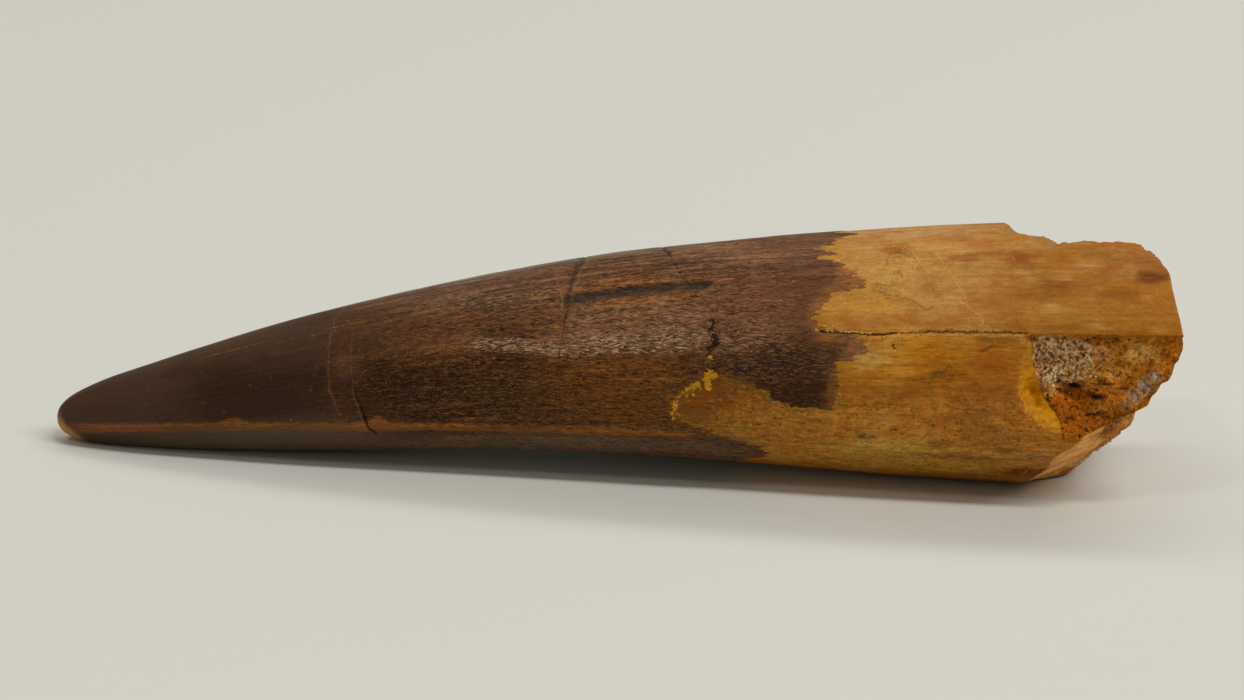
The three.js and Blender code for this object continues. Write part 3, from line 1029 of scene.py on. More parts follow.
ROOT_STAINS = make_stains(
    (77, -12, 9, 7, "925816", 0.97, 0.3), (71.8, -4, 3.2, 4.0, "7c460e", 0.9, 0.4),
    (69.6, -13, 2.2, 4.0, "7c480e", 0.85, 0.5), (76.5, -20, 4, 2.0, "a87426", 0.7, 0.7),
    (82, -12, 3, 1.8, "7c4a10", 0.6, 0.8), (85, -26, 12, 4.4, "ac7022", 0.9, 0.5),
    (94, 60, 17, 9, "c28c46", 0.9, 0.4), (91, 98, 13, 4, "c0935e", 0.75, 0.4),
    (88, 44, 5, 3, "c68c34", 0.7, 0.6), (93, 14, 7, 4, "c67e1a", 0.8, 0.5),
    (91.2, 15, 1.4, 4.4, "c8882c", 0.7, 0.6), (88.4, 18, 2.6, 1.8, "cc9c48", 0.8, 0.8),
    (93.2, 2, 2.0, 1.3, "90540e", 0.7, 0.8), (109, 52, 11, 8, "aa6e22", 0.85, 0.4),
    (116, 70, 6, 5, "a4662a", 0.8, 0.5), (100, 3, 7, 5, "b06a10", 0.85, 0.5),
    (91.0, 71, 2.2, 1.0, "965a1e", 0.85, 0.9), (97.8, 65.6, 2.2, 0.7, "9a5420", 0.8, 0.9),
    (96, 82, 5, 0.8, "ac6a34", 0.5, 0.9), (103.8, 64.4, 1.8, 1.0, "8e4c14", 0.85, 0.9),
    (101.2, 68, 2.2, 0.7, "a05c1c", 0.6, 0.9), (106.6, 51, 2.6, 0.9, "925010", 0.7, 0.9),
    (105.0, 45.6, 3.4, 0.9, "985812", 0.55, 0.9), (110.2, 61, 1.8, 0.9, "c08c4c", 0.45, 1.0),
    (114.2, 58.4, 2.2, 1.2, "bc884a", 0.5, 1.0), (116.4, 54.4, 2.0, 0.9, "7a3c10", 0.9, 0.8),
    (112, 78, 2.6, 0.9, "96541e", 0.6, 0.9), (113.4, 46, 3, 1.0, "95540e", 0.5, 0.9),
    (107, 37, 6, 1.2, "b47c2c", 0.55, 0.8), (96.2, 6, 3.0, 1.8, "9c5c10", 0.6, 0.8),
    (95.6, 9.4, 1.3, 0.5, "6c4110", 0.65, 1.0), (97.2, 9.0, 1.0, 0.3, "6c4110", 0.6, 1.0),
    (92.5, -4, 4, 2.4, "a86c1c", 0.6, 0.7), (101.2, 25.6, 2.4, 0.6, "7c4c10", 0.6, 0.9),
    (100.8, -6, 4, 3.0, "94581a", 0.75, 0.6), (97, -20, 13, 4.0, "b87624", 0.85, 0.6),
    (92, -34, 8, 2.6, "c4983a", 0.8, 0.8), (92, -50, 15, 4.5, "b4822e", 0.8, 0.6),
    (99, -38, 7, 1.2, "845420", 0.7, 0.8), (100.3, -32.6, 1.4, 0.8, "c09038", 0.85, 0.8),
    (106, -35, 1.8, 0.9, "6e5434", 0.7, 0.8), (108, -36, 4, 2.2, "9c6828", 0.6, 0.6),
    # The two dark red stains at angles -51.5 and -47.5, under the lip's lower edge, are partly the root's
    # own red and partly painted shadow.
    (105.0, -51.5, 3.4, 1.5, "642806", 0.97, 0.6), (107.6, -47.5, 1.4, 0.8, "5a2006", 0.95, 0.6),
    (99, -12, 2.6, 1.8, "7c5020", 0.5, 0.9), (101.5, -22, 3.0, 2.0, "8a5a24", 0.5, 0.9),
    (96, -28, 1.6, 0.6, "52340f", 0.6, 1.0), (102.6, -30, 1.4, 0.6, "52340f", 0.6, 1.0),
    (100, -72, 14, 5, "84541c", 0.7, 0.5), (88.4, -25.6, 0.9, 0.5, "382410", 0.85, 0.9),
    (100, 210, 16, 12, "96622a", 0.6, 0.5), (98, 160, 14, 8, "b07a38", 0.6, 0.5),
    (92, 190, 6, 3, "a4582a", 0.5, 0.9), (108, 178, 5, 3, "8e5420", 0.6, 0.9),
    (104, 140, 7, 2, "9c6424", 0.5, 0.9),
)
STONE_STAINS = make_stains(
    (107.4, 19, 3.2, 2.6, "b88854", 0.95, 0.6), (109.2, 13, 3.2, 3.0, "bc8646", 0.95, 0.6),
    (106.6, 6, 1.6, 2.2, "b48244", 0.9, 0.7), (109.4, 20, 2.2, 0.9, "b8743a", 0.6, 0.8),
    (111.8, 20, 1.6, 1.6, "b07c48", 0.7, 0.8), (115.0, 14, 3.4, 4, "b4701c", 0.8, 0.7),
    (115.8, 20, 2.0, 1.4, "d8a050", 0.85, 0.7), (113.0, 9, 1.6, 1.2, "c88c40", 0.8, 0.8),
    (107.6, 0.5, 1.2, 0.8, "c48a4c", 0.7, 0.8), (110.2, -11, 5, 2.0, "9c5204", 0.95, 0.5),
    (108.6, -7, 1.6, 1.2, "a85a08", 0.8, 0.7), (113, -14, 3, 1.6, "8e4c0a", 0.9, 0.6),
    (112.4, -7.5, 1.6, 1.4, "b4701c", 0.8, 0.7), (109.3, 0.8, 0.85, 0.65, "120804", 1.0, 0.8),
    (111.5, -3.0, 1.05, 0.5, "120804", 1.0, 0.8), (107.8, 4.4, 0.6, 0.5, "2a1608", 0.85, 0.7),
    (112.3, -2.6, 0.5, 0.4, "5c1c10", 0.9, 0.5), (112.6, 3.4, 1.2, 0.3, "2a1608", 0.85, 0.8),
    (114.4, 1.2, 0.7, 0.3, "4a260a", 0.8, 0.8), (107.4, -8, 0.4, 0.3, "241205", 0.8, 0.6),
    (109, -14, 0.6, 0.25, "2a1606", 0.8, 0.8), (111.5, -12.5, 0.9, 0.3, "3a1c06", 0.8, 0.8),
    (117.2, 8.5, 0.9, 1.0, "b49c80", 0.95, 0.7), (116.4, 3, 0.9, 1.2, "b89c80", 0.95, 0.7),
    (115.5, -2.5, 0.9, 1.0, "a88868", 0.9, 0.7), (114.6, -7, 0.8, 0.8, "8c6848", 0.8, 0.7),
)


@dataclass(frozen=True)
class ToothFinish:
    """The colours and gloss of the tooth's enamel, root and broken stone."""

    crown: str = "4c2e18"
    root: str = "ad6c1c"
    stone_base: str = "a86210"
    enamel_roughness: float = 0.4
    grain_height: float = 0.03
    root_roughness: float = 0.55
    stone_roughness: float = 0.85
    specular: float = 0.1
    wrinkle_height: float = 0.07
    root_height: float = 0.05
    stone_height: float = 0.3
    crest_height: float = 0.02
    crack_depth: float = 0.08
    pit_depth: float = 0.02
    crust_height: float = 0.06
    enamel_height: float = 0.05
    tan_share: float = 0.45
    speck_share: float = 0.4
    # Shares of the painted highlight: its sheen, the darker furrows in it, and the most its glints take.
    gleam_share: float = 0.34
    furrow_shade: float = 0.5
    glint_most: float = 0.85
    # Share of the painted reflection along the top of the crown.
    top_sheen_share: float = 0.66
    ridge_share: float = 0.4
    streak_share: float = 0.88
    warm_share: float = 0.5
    sandy_share: float = 0.4
    grainy_share: float = 0.42
    pore_share: float = 0.8
    smear_share: float = 0.42
    fleck_share: float = 0.42
    scuff_share: float = 0.45
    chip_share: float = 0.75
    band_share: float = 0.9
    outline_share: float = 0.6
    hollow_share: float = 0.72
    edge_share: float = 0.6
    dust_share: float = 0.75
    crack_share: float = 0.92
    lip_share: float = 0.9
    wear: Colour = linear("a0601e")
    tip_wear: Colour = linear("b8803e")
    crack: Colour = linear("120a05")
    crack_dust: Colour = linear("a5774c")
    mark: Colour = linear("5a3210")
    streak: Colour = linear("46362a")
    crust: Colour = linear("cf8f1c")
    band: Colour = linear("d08a00")
    # Painted highlight colours: a pale sheen laid over the band above the front ridge, and paler glints on
    # its wrinkle crests.
    painted_sheen: Colour = linear("876347")
    glint_top: Colour = linear("d0a880")
    # Pale grey of the painted reflection along the top of the crown.
    top_sheen_colour: Colour = linear("a09884")
    speck: Colour = linear("b47c44")
    pore: Colour = linear("38200a")
    warm: Colour = linear("a4530f")
    sandy: Colour = linear("d6a45c")
    rim: Colour = linear("d8a040")
    # Dark of the stone's gaps and hollows, partly its own grain and partly painted shade.
    stone_dark: Colour = linear("2a1608")
    lip: Colour = linear("ecae5c")
    chip: Colour = linear("a07a44")
    # Pale of the stone's raised curls, partly their own tone and partly painted light.
    curl: Colour = linear("eecb9e")
    root_dust: Colour = linear("dcae5a")

    def crown_colour(self, g: Graph, look: "Texture") -> Wire:
        """Colour the enamel.

        Args:
            g: The material's graph.
            look: The textures that the finishes share.

        Returns:
            The enamel's colour.
        """
        bands = look.wrinkled * 0.35 + g.read("upper") * 0.55 + 0.16
        light = 0.97 + (g.rise(look.streaks, 0.34, 0.66) - 0.5) * bands
        # Painted light and shade on the wrinkles: the tone is lighter on wrinkle tops and crest lines and
        # darker in the furrows, where the relief rises and sinks.
        fine = g.rise(look.wrinkles, 0.34, 0.66) - look.furrows * 0.6 + look.crests * 0.6 - 0.4
        fine = g.sum("MULTIPLY_ADD", fine, look.wrinkled, 1.0)
        crown = g.shade(g.read("crown", "Vector"), light * fine)
        tan_lines = g.rise(look.streaks, 0.55, 0.66) * look.crests * look.wrinkled
        crown = g.blend(tan_lines * self.tan_share, crown, self.speck)
        specks = g.rise(look.fine, 0.4, 0.5) * g.rise(look.strands, 0.53, 0.6) * look.wrinkled
        crown = g.blend(specks * self.speck_share, crown, self.speck)
        # Painted highlight: a pale sheen and thin pale glints over the band above the front ridge, with its
        # furrows painted darker between them.
        gleam = g.read("glints") * g.rise(look.ragged, -0.3, 0.05)
        crown = g.blend(gleam * self.gleam_share, crown, self.painted_sheen)
        crown = g.shade(crown, 1.0 - look.furrows * gleam * self.furrow_shade)
        glints = g.rise(look.strands, 0.5, 0.63) * gleam * g.rise(look.wrinkles, 0.34, 0.54)
        crown = g.blend(g.sum("MINIMUM", glints, self.glint_most), crown, self.glint_top)
        # Painted reflection: a pale grey rim along the top of the crown, where the bright room reflects at
        # a grazing angle.
        top_wear = g.read("top_wear") * g.rise(look.streaks, 0.3, 0.55)
        crown = g.blend(top_wear * self.top_sheen_share, crown, self.top_sheen_colour)
        upper = g.sum("ABSOLUTE", g.read("upper_ridge") + look.ragged * 2.4)
        upper_wear = g.rise(upper, 0.3, 0.1) * g.read("upper_wear") * g.rise(look.streaks, 0.46, 0.62)
        crown = g.blend(upper_wear * self.ridge_share, crown, self.wear)
        carina = g.read("carina") + look.ragged * 0.5 + (look.fine - 0.5) * 0.6
        stripe = g.rise(carina, 0.55, 0.25) * g.rise(carina, -1.25, -0.35) * g.read("carina_wear")
        patchy = g.rise(look.wrinkles, 0.36, 0.6, 0.75) * g.rise(look.streaks, 0.34, 0.56) + 0.3
        crown = g.blend(stripe * patchy, crown, self.wear)
        tip_wear = g.shade(self.tip_wear, look.fine * 0.7 + 0.65)
        crown = g.blend(g.rise(g.read("along") + look.ragged * 1.6, 2.2, 0.6), crown, tip_wear)
        streak = g.rise(g.read(Edge.STREAK.value) + look.ragged * 0.6, -0.2, 0.1)
        streak_colour = g.shade(self.streak, g.rise(look.wrinkles, 0.25, 0.7, 1.2) + 0.35)
        return g.blend(streak * self.streak_share, crown, streak_colour)

    def root_colour(self, g: Graph, look: "Texture") -> Wire:
        """Colour the root.

        Args:
            g: The material's graph.
            look: The textures that the finishes share.

        Returns:
            The root's colour.
        """
        light = g.sum("MULTIPLY_ADD", g.rise(look.streaks, 0.3, 0.7), 0.22, 0.89)
        mottle = 1.0 + look.ragged * (g.read("porous") * 0.6 + 0.6)
        fine = g.sum("MULTIPLY_ADD", look.fine, 0.5, 0.75)
        lower = g.read("lower")
        fine = fine + (look.scratches - 0.5) * (lower * 1.1 + 0.85) - look.furrows * 0.07 + lower * 0.04
        root = g.shade(g.read("root", "Vector"), light * mottle * fine)
        root = g.blend(g.rise(look.clouds, 0.5, 0.68) * self.warm_share, root, self.warm)
        sandy = g.rise(look.clouds, 0.46, 0.3) * g.rise(look.streaks, 0.4, 0.6)
        root = g.blend(sandy * self.sandy_share, root, self.sandy)
        grainy = g.rise(look.grit, 0.56, 0.68) * g.read("porous")
        root = g.blend(grainy * self.grainy_share, root, self.sandy)
        dark = g.rise(look.pits, 0.41, 0.33) * g.read("porous") * g.rise(look.grit, 0.36, 0.56)
        root = g.blend(dark * self.pore_share, root, self.pore)
        smears = g.rise(look.lumps, 0.46, 0.3) * g.read("porous") * g.rise(look.clouds, 0.42, 0.58)
        root = g.blend(smears * self.smear_share, root, self.pore)
        flecks = g.rise(look.lumps, 0.58, 0.68) * g.read("porous")
        root = g.blend(flecks * self.fleck_share, root, self.rim)
        scuffs = look.squiggles * g.read("scuffed")
        root = g.blend(scuffs * self.scuff_share, root, self.root_dust)
        chipped = g.read("chipped") * g.rise(look.grit, 0.35, 0.6)
        root = g.blend(chipped * self.chip_share, root, self.chip)
        band = g.rise(g.read(Edge.YELLOW_BAND.value) + look.ragged * 1.3, -0.3, 0.35) * g.read("banded")
        bright = g.rise(look.scratches, 0.3, 0.7, 0.3) + g.rise(look.grit, 0.35, 0.65, 0.35) + 0.6
        root = g.blend(band * self.band_share, root, g.shade(self.band, bright))
        outline = g.rise(g.sum("ABSOLUTE", g.read(Edge.YELLOW_BAND.value) + look.ragged * 1.3), 0.13, 0.04)
        return g.blend(outline * g.rise(look.fine, 0.4, 0.6) * self.outline_share, root, self.rim)

    def stone_colour(self, g: Graph, look: "Texture") -> Wire:
        """Colour the hardened sand.

        Args:
            g: The material's graph.
            look: The textures that the finishes share.

        Returns:
            The stone's colour.
        """
        # The stone is lighter where its lumps stand high and dark in the gaps where they lie low, with pale
        # curls and dark hollows beside them; the relief rises and sinks the same way, so this is partly the
        # stone's own grain and partly painted light and shade.
        shares = g.sum("MULTIPLY_ADD", g.rise(look.fine, 0.36, 0.64), 0.5, 0.8)
        shares = shares + g.rise(look.lumps, 0.5, 0.66) * 0.55
        stone = g.shade(g.read("stone", "Vector"), shares)
        gaps = g.rise(look.lumps + (look.grit - 0.5) * 0.9, 0.45, 0.33) * g.read("gappy")
        stone = g.blend(gaps, stone, self.stone_dark)
        curly = g.rise(g.read("curly") + look.ragged * 1.2, 0.35, 0.6)
        stone = g.blend(look.hollows * curly * self.hollow_share, stone, self.stone_dark)
        return g.blend(look.curls * curly * g.rise(look.fine, 0.26, 0.5, 0.8), stone, self.curl)

    def material(self) -> bpy.types.Material:
        """Build the tooth's material.

        Returns:
            One material for the whole tooth, led by what the mesh carries.
        """
        g = Graph("tooth_finish")
        look = Texture(g)
        crown = self.crown_colour(g, look)
        root = self.root_colour(g, look)
        fingers = (look.streaks - 0.5) * 3.0
        edge = g.read(Edge.ENAMEL.value) + look.ragged * 1.8 + fingers
        soft = g.read("soft_edge")
        enamel = g.sum("MULTIPLY_ADD", edge, 0.5, soft * 0.5)
        enamel = g.rise(g.sum("DIVIDE", enamel, soft), 0.0, 1.0)
        pale_rim = g.rise(edge, -0.5, -0.15) * g.rise(look.wrinkles, 0.46, 0.62)
        root = g.blend(pale_rim * self.edge_share, root, self.rim)
        colour = g.blend(enamel, root, crown)

        crust = g.rise(g.read(Edge.YELLOW_CRUST.value) + look.ragged * 1.1 + look.fine * 0.5, 0.22, 0.32)
        colour = g.blend(crust, colour, g.shade(self.crust, look.fine + 0.55))
        dust = self.line(g, look, "light", 1.6) * g.rise(look.fine, 0.36, 0.56)
        dust = dust * (1.0 - enamel * g.rise(look.grit, 0.54, 0.42, 0.55))
        colour = g.blend(dust * self.dust_share, colour, g.blend(enamel, self.root_dust, self.crack_dust))
        colour = g.blend(self.line(g, look, "brown", 1.8) * g.rise(look.fine, 0.3, 0.6), colour, self.mark)
        crack = self.line(g, look, "dark", 1.4)
        colour = g.blend(crack * self.crack_share, colour, self.crack)

        flake = g.rise(g.read(Edge.FLAKE.value) + look.ragged * 0.9, -0.05, 0.15)
        colour = g.blend(flake, colour, self.stone_colour(g, look))
        lip_light = g.rise(look.scratches, 0.3, 0.7, 0.2) + g.rise(look.ragged, 0.12, -0.2, 0.16) + 0.87
        lip_colour = g.shade(self.lip, lip_light)
        lip_colour = g.blend(g.rise(look.lumps, 0.42, 0.3) * 0.3, lip_colour, self.warm)
        lip_colour = g.blend(g.rise(look.clouds, 0.52, 0.36) * 0.5, lip_colour, self.warm)
        lip = g.rise(g.read("lip") + look.ragged * 1.8, 0.25, 0.75)
        colour = g.blend(lip * self.lip_share, colour, lip_colour)

        smoother = self.enamel_roughness - self.root_roughness
        roughness = g.sum("MULTIPLY_ADD", enamel, smoother, self.root_roughness)
        rough_stone = g.sum("MAXIMUM", roughness, flake * self.stone_roughness)
        roughness = g.sum("MAXIMUM", rough_stone, crust * self.stone_roughness)
        height = look.wrinkles * look.wrinkled * self.wrinkle_height + look.streaks * self.root_height
        height = height - crack * self.crack_depth - look.pits * g.read("porous") * self.pit_depth
        height = height + crust * self.crust_height + enamel * self.enamel_height
        height = height + look.fine * self.grain_height
        lumps = look.lumps * (1.0 - g.read("curly") * 0.9)
        curls = look.curls * g.read("curly") * 0.35
        height = height + (lumps + curls) * flake * self.stone_height
        height = height + (look.crests - look.furrows) * look.wrinkled * enamel * self.crest_height
        return g.finish(colour, roughness, height, self.specular)

    def line(self, g: Graph, look: "Texture", name: str, wander: float) -> Wire:
        """Draw the lines of one kind, wandering and of uneven width.

        Args:
            g: The material's graph.
            look: The textures that the finishes share.
            name: Which lines.
            wander: How far they stray, in half widths.

        Returns:
            The share of line.
        """
        side = g.sum("ABSOLUTE", g.read(name + "_side") + look.ragged * wander * 4.0)
        away = g.sum("MAXIMUM", side, g.read(name + "_past"))
        broken = (look.fine - 0.5) * 5.0
        return g.rise(away + broken, 1.5, 0.5) * g.read(name + "_strength")


class Texture:
    """The textures that the finishes of the tooth share."""

    def __init__(self, g: Graph) -> None:
        """Add the texture nodes.

        Args:
            g: The material's graph.
        """
        grain = g.read("grain", "Vector")
        spot = g.read("spot", "Vector")
        wavy = g.warp(grain, 0.55, 0.8)
        self.ragged = g.noise(spot, 1.1, 5.0, 0.62) - 0.5
        self.wrinkles = g.noise(g.stretch(wavy, (0.26, 1, 1)), 4.4, 3.0, 0.6)
        self.crests = self.contour(g, g.noise(g.stretch(wavy, (0.16, 1, 1)), 2.7, 3.0, 0.6), 0.05)
        self.furrows = self.contour(g, g.noise(g.stretch(wavy, (0.14, 1, -1)), 2.9, 3.0, 0.6), 0.06)
        self.strands = g.noise(g.stretch(wavy, (0.12, -1, 1)), 9.5, 1.0, 0.5)
        self.squiggles = self.contour(g, g.noise(g.warp(spot, 0.9, 1.2), 0.8, 3.0, 0.6), 0.03)
        self.lumps = g.noise(g.warp(spot, 1.6, 0.5), 2.3, 3.0, 0.6)
        swirl = g.noise(g.warp(spot, 1.3, 1.1), 2.1, 1.5, 0.5)
        self.curls = g.rise(swirl, 0.5, 0.57)
        self.hollows = g.rise(swirl, 0.46, 0.39)
        self.streaks = g.noise(g.stretch(grain, (0.06, 1, 1)), 1.6, 5.0, 0.66)
        self.clouds = g.noise(g.stretch(grain, (0.6, 1, 1)), 0.42, 4.0, 0.6)
        self.grit = g.noise(spot, 2.0, 4.0, 0.66)
        self.fine = g.noise(spot, 4.4, 3.0, 0.62)
        self.wrinkled = g.read("wrinkled")
        self.pits = g.noise(g.stretch(grain, (0.75, 1, 1)), 2.6, 3.0, 0.55)
        self.scratches = g.noise(g.stretch(grain, (0.16, 1, 1)), 4.0, 4.0, 0.66)

    @staticmethod
    def contour(g: Graph, noise: Wire, width: float) -> Wire:
        """Draw thin lines where a noise passes its middle value.

        Args:
            g: The material's graph.
            noise: The noise.
            width: How far from the middle value a line still shows.

        Returns:
            The share of line.
        """
        return g.rise(g.sum("ABSOLUTE", noise - 0.5), width, width * 0.15)


@dataclass(frozen=True)
class EnamelWear:
    """Where the enamel is wrinkled and worn, and where the painted highlight and painted reflection lie on
    it: places along, ranges of them, and angles.
    """

    least_wrinkled: float = 0.12
    wrinkles_rise: tuple = (26, 48)
    wrinkles_fall: tuple = (74, 82)
    wrinkles_lost: float = 0.6
    end_along: float = 50.0
    tip_lean_above: float = 1.3
    tip_lean_below: float = 2.4
    tip_shift: float = 0.45
    # Where the painted reflection along the top of the crown lies.
    rim_angles: tuple = (106, 101)
    rim_turns: tuple = (30, 45)
    rim_width: float = 8.0
    rim_rise: tuple = (4, 14)
    rim_fall: tuple = (60, 78)
    rim_back: tuple = (106, 112)
    rim_back_lost: float = 0.65
    streaks_rise: tuple = (28, 40)
    streaks_above: tuple = (50, 72)
    streaks_back: tuple = (120, 160)
    upper_rise: tuple = (15, 22)
    upper_fall: tuple = (50, 60)
    clip: float = 5.0
    lobes: tuple = ((0.6, 20.9, 1.3), (0.9, 36.9, 0.9))
    lobes_above: float = 0.3
    carina_least: float = 0.62
    carina_grows: tuple = (30, 36)
    carina_rise: tuple = (1, 4)
    carina_fall: tuple = (69, 72)
    carina_eases: tuple = (46, 50)
    carina_eased: float = 0.2
    carina_rear: float = 0.5
    edge_sharp: float = 0.07
    edge_soft: float = 1.2
    edge_soft_until: tuple = (75, 80)
    edge_soft_below: tuple = (6, 12)
    edge_soft_above: tuple = (-46, -30)
    # Where the painted highlight lies: the band above the front ridge, the slanting upper band and the
    # lobe.
    glint_band: float = 1.05
    glint_upper: float = 0.4
    glint_lobe: float = 0.12
    glint_lowest: tuple = (27, 18)
    glint_turns: tuple = (46, 58)
    glint_left: tuple = (44, 50)
    glint_right: tuple = (55, 59)
    glint_top: tuple = (42, 54)
    glint_eases: tuple = (68, 74)
    glint_eased: float = 0.65
    glint_fall: tuple = (76, 84)
    gleam_at: float = 46.0
    gleam_angle: float = 63.0
    gleam_slope: float = 0.5
    gleam_width: float = 6.0
    gleam_rise: tuple = (38, 44)
    gleam_fall: tuple = (52, 58)
    lobe_rise: tuple = (72, 76)
    lobe_above: tuple = (2, 8)
    lobe_below: tuple = (20, 26)


@dataclass(frozen=True)
class RootWear:
    """Where the root and its stone are worn, and how dark the painted shade on the broken end goes: places
    along, ranges of them, and angles.
    """

    chipped: tuple = (98, 109)
    chip_margin: float = 0.05
    scuffs: Blob = Blob(90, 54, 4.5, 16.0)
    curls: Blob = Blob(107.6, 15.5, 3.4, 12.0, 4)
    sand: Blob = Blob(107.8, 15, 2.8, 10.0)
    gaps: float = 0.95
    gaps_lost: float = 0.35
    gaps_fall: tuple = (110, 114)
    band_least: float = 0.4
    band_fall: tuple = (16, 4)
    lower_fall: tuple = (30, 22)
    lower_back: tuple = (180, 200)
    porous_rise: tuple = (70, 74)
    porous_below: tuple = (-12, 8)
    porous_above: tuple = (-110, -80)
    porous_back: float = 0.7
    back_from: float = 200.0
    strip_height: float = 13.9
    strip_width: float = 2.4
    strip_front: tuple = (7.0, 9.0)
    grey_front: tuple = (-9, -6)
    grey_fill: str = "b49a82"
    grey_share: float = 0.9
    yellow_fill: str = "c08c40"
    yellow_share: float = 0.7
    # How dark the painted shade in the broken end's patches goes, and how far it swings.
    fill_least: float = 0.62
    fill_swing: float = 0.5
    fill_inside: float = 1.6
    lip_edge: tuple = (-0.1, 0.25)
    lip_lower: tuple = (-30, -20)
    lip_lower_lost: float = 0.35
    lip_wide: float = 2.1
    lip_narrow: float = 1.2
    lip_narrows: tuple = (-36, -22)
    lip_fade: float = 0.8

    def strip(self, y: np.ndarray, z: np.ndarray) -> np.ndarray:
        """Say where the grey strip down the front of the broken end lies.

        Args:
            y: Across the tooth.
            z: Height.

        Returns:
            Shares from 0 to 1.
        """
        return step(-y, *self.strip_front) * bell(z, self.strip_height, self.strip_width)


@dataclass
class Tooth:
    """The whole tooth as one mesh: crown, root, scar, chipped crest and broken end."""

    form: Form
    end: BrokenEnd
    flake: MissingFlake
    chips: CrestChips
    finish: ToothFinish
    enamel: EnamelWear = EnamelWear()
    root: RootWear = RootWear()
    tip_rows: int = 18
    tip_zone: float = 3.0
    root_rows: int = 66
    end_rings: int = 42
    row_gap: float = 0.52
    fine_row_gap: float = 0.24
    fine_zones: tuple = ((30.5, 37.5), (54.5, 59.5), (65.5, 73.5))
    facet_columns: tuple = (40, 60, 1, 50, 46, 24, 20, 18, 14)
    guide_ridges: tuple = (2, 3, 4, 5, 6)
    ledge_joins: tuple = (92, 100)
    scar_gap: float = 0.5
    ledge_step: float = 0.12
    grain_spread: float = 13.0
    end_rounds: int = 40
    long_relief: float = 0.035
    short_relief: float = 0.02
    groove_width: float = 1.6
    streak_depth: float = 0.22
    enamel_rise: float = 0.08
    skin: float = 0.12
    points: np.ndarray = field(init=False, repr=False)
    faces: np.ndarray = field(init=False, repr=False)
    at: np.ndarray = field(init=False, repr=False)
    angle: np.ndarray = field(init=False, repr=False)
    on_face: np.ndarray = field(init=False, repr=False)
    edges: dict[Edge, np.ndarray] = field(init=False, repr=False)
    lip: np.ndarray = field(init=False, repr=False)

    def rows(self) -> np.ndarray:
        """Space the rows from the tip to the start of the scar.

        Returns:
            Distances from the tip, closer together at the tip and at the cracks.
        """
        shares = np.arange(1, self.tip_rows + 1) / self.tip_rows
        rows = list(self.tip_zone * shares ** (1 / self.form.tip_power))
        while rows[-1] < self.flake.starts - self.scar_gap:
            fine = any(low < rows[-1] < high for low, high in self.fine_zones)
            rows.append(rows[-1] + (self.fine_row_gap if fine else self.row_gap))
        return np.array(rows)

    def columns(self, at: np.ndarray) -> np.ndarray:
        """Space the columns round the tooth, with one on each long ridge.

        Args:
            at: Distances from the tip.

        Returns:
            One row of angles for each distance, from underneath round past the front.
        """
        form = self.form
        ledge = mix(form.ridge(form.front_ridge, at), self.flake.ledge, step(at, *self.ledge_joins))
        guides = [np.full_like(at, -90.0), form.ridge(form.front_carina, at)]
        guides += [ledge - self.ledge_step, ledge + 0.01]
        guides += [form.ridge(i, at) for i in self.guide_ridges] + [np.full_like(at, 270.0)]
        columns = []
        for low, high, count in zip(guides, guides[1:], self.facet_columns):
            shares = np.arange(count) / count
            columns.append(low[:, None] + (high - low)[:, None] * shares)
        return np.concatenate(columns, 1)

    def outside(self, at: np.ndarray, angle: np.ndarray) -> np.ndarray:
        """Put points on the outside, with what broke off it taken away.

        Args:
            at: Distance from the tip.
            angle: Angle about the middle.

        Returns:
            Points in the form's own place.
        """
        radius = self.form.radius(at, angle) - self.flake.cut(self.form, at, angle)
        points = self.form.place(at, angle, radius)
        points[..., 2] = np.minimum(points[..., 2], self.chips.floor(points[..., 0], points[..., 1]))
        points[..., 2] = np.maximum(points[..., 2], 0)
        return points

    def ends(self, angle: np.ndarray) -> np.ndarray:
        """Find where each column meets the broken end.

        Args:
            angle: Each column's angle at the end.

        Returns:
            Distances from the tip.
        """
        at = np.full_like(angle, self.form.length - 3)
        for _ in range(self.end_rounds):
            points = self.outside(at, angle)
            reach = self.end.reach(self.form, points[:, 1], points[:, 2])
            at = 0.5 * at + 0.5 * (reach + self.form.length / 2)
        return at

    def build(self) -> None:
        """Work out the mesh's corners and faces."""
        rows = self.rows()
        last = rows[-1]
        angles = self.columns(rows)
        end_angles = self.columns(np.array([self.end.section]))[0]
        ends = self.ends(end_angles)
        shares = np.arange(1, self.root_rows + 1) / self.root_rows
        root_at = last + shares[:, None] * (ends - last)
        root_angles = mix(angles[-1], end_angles, step(shares, 0, 0.25)[:, None])
        at = np.concatenate([np.tile(rows[:, None], angles.shape[1]), root_at])
        angle = np.concatenate([angles, root_angles])
        count, around = at.shape
        at, angle = at.ravel(), angle.ravel()
        outside = self.outside(at, angle)

        rim = outside[-around:]
        middle = np.array([0, 1.0, self.form.middle(self.end.section)])
        inward = (np.arange(1, self.end_rings + 1) / (self.end_rings + 0.5))[:, None]
        y = mix(rim[:, 1], middle[1], inward).ravel()
        z = mix(rim[:, 2], middle[2], inward).ravel()
        face = np.stack([self.end.reach(self.form, y, z) + self.end.grain(self.form, y, z), y, z], 1)
        tip = self.form.place(0.0, 0.0, 0.0)[None]
        hub_x = self.end.reach(self.form, middle[1:2], middle[2:])
        hub = np.array([[hub_x[0], middle[1], middle[2]]])
        self.points = np.concatenate([outside, face, tip, hub])

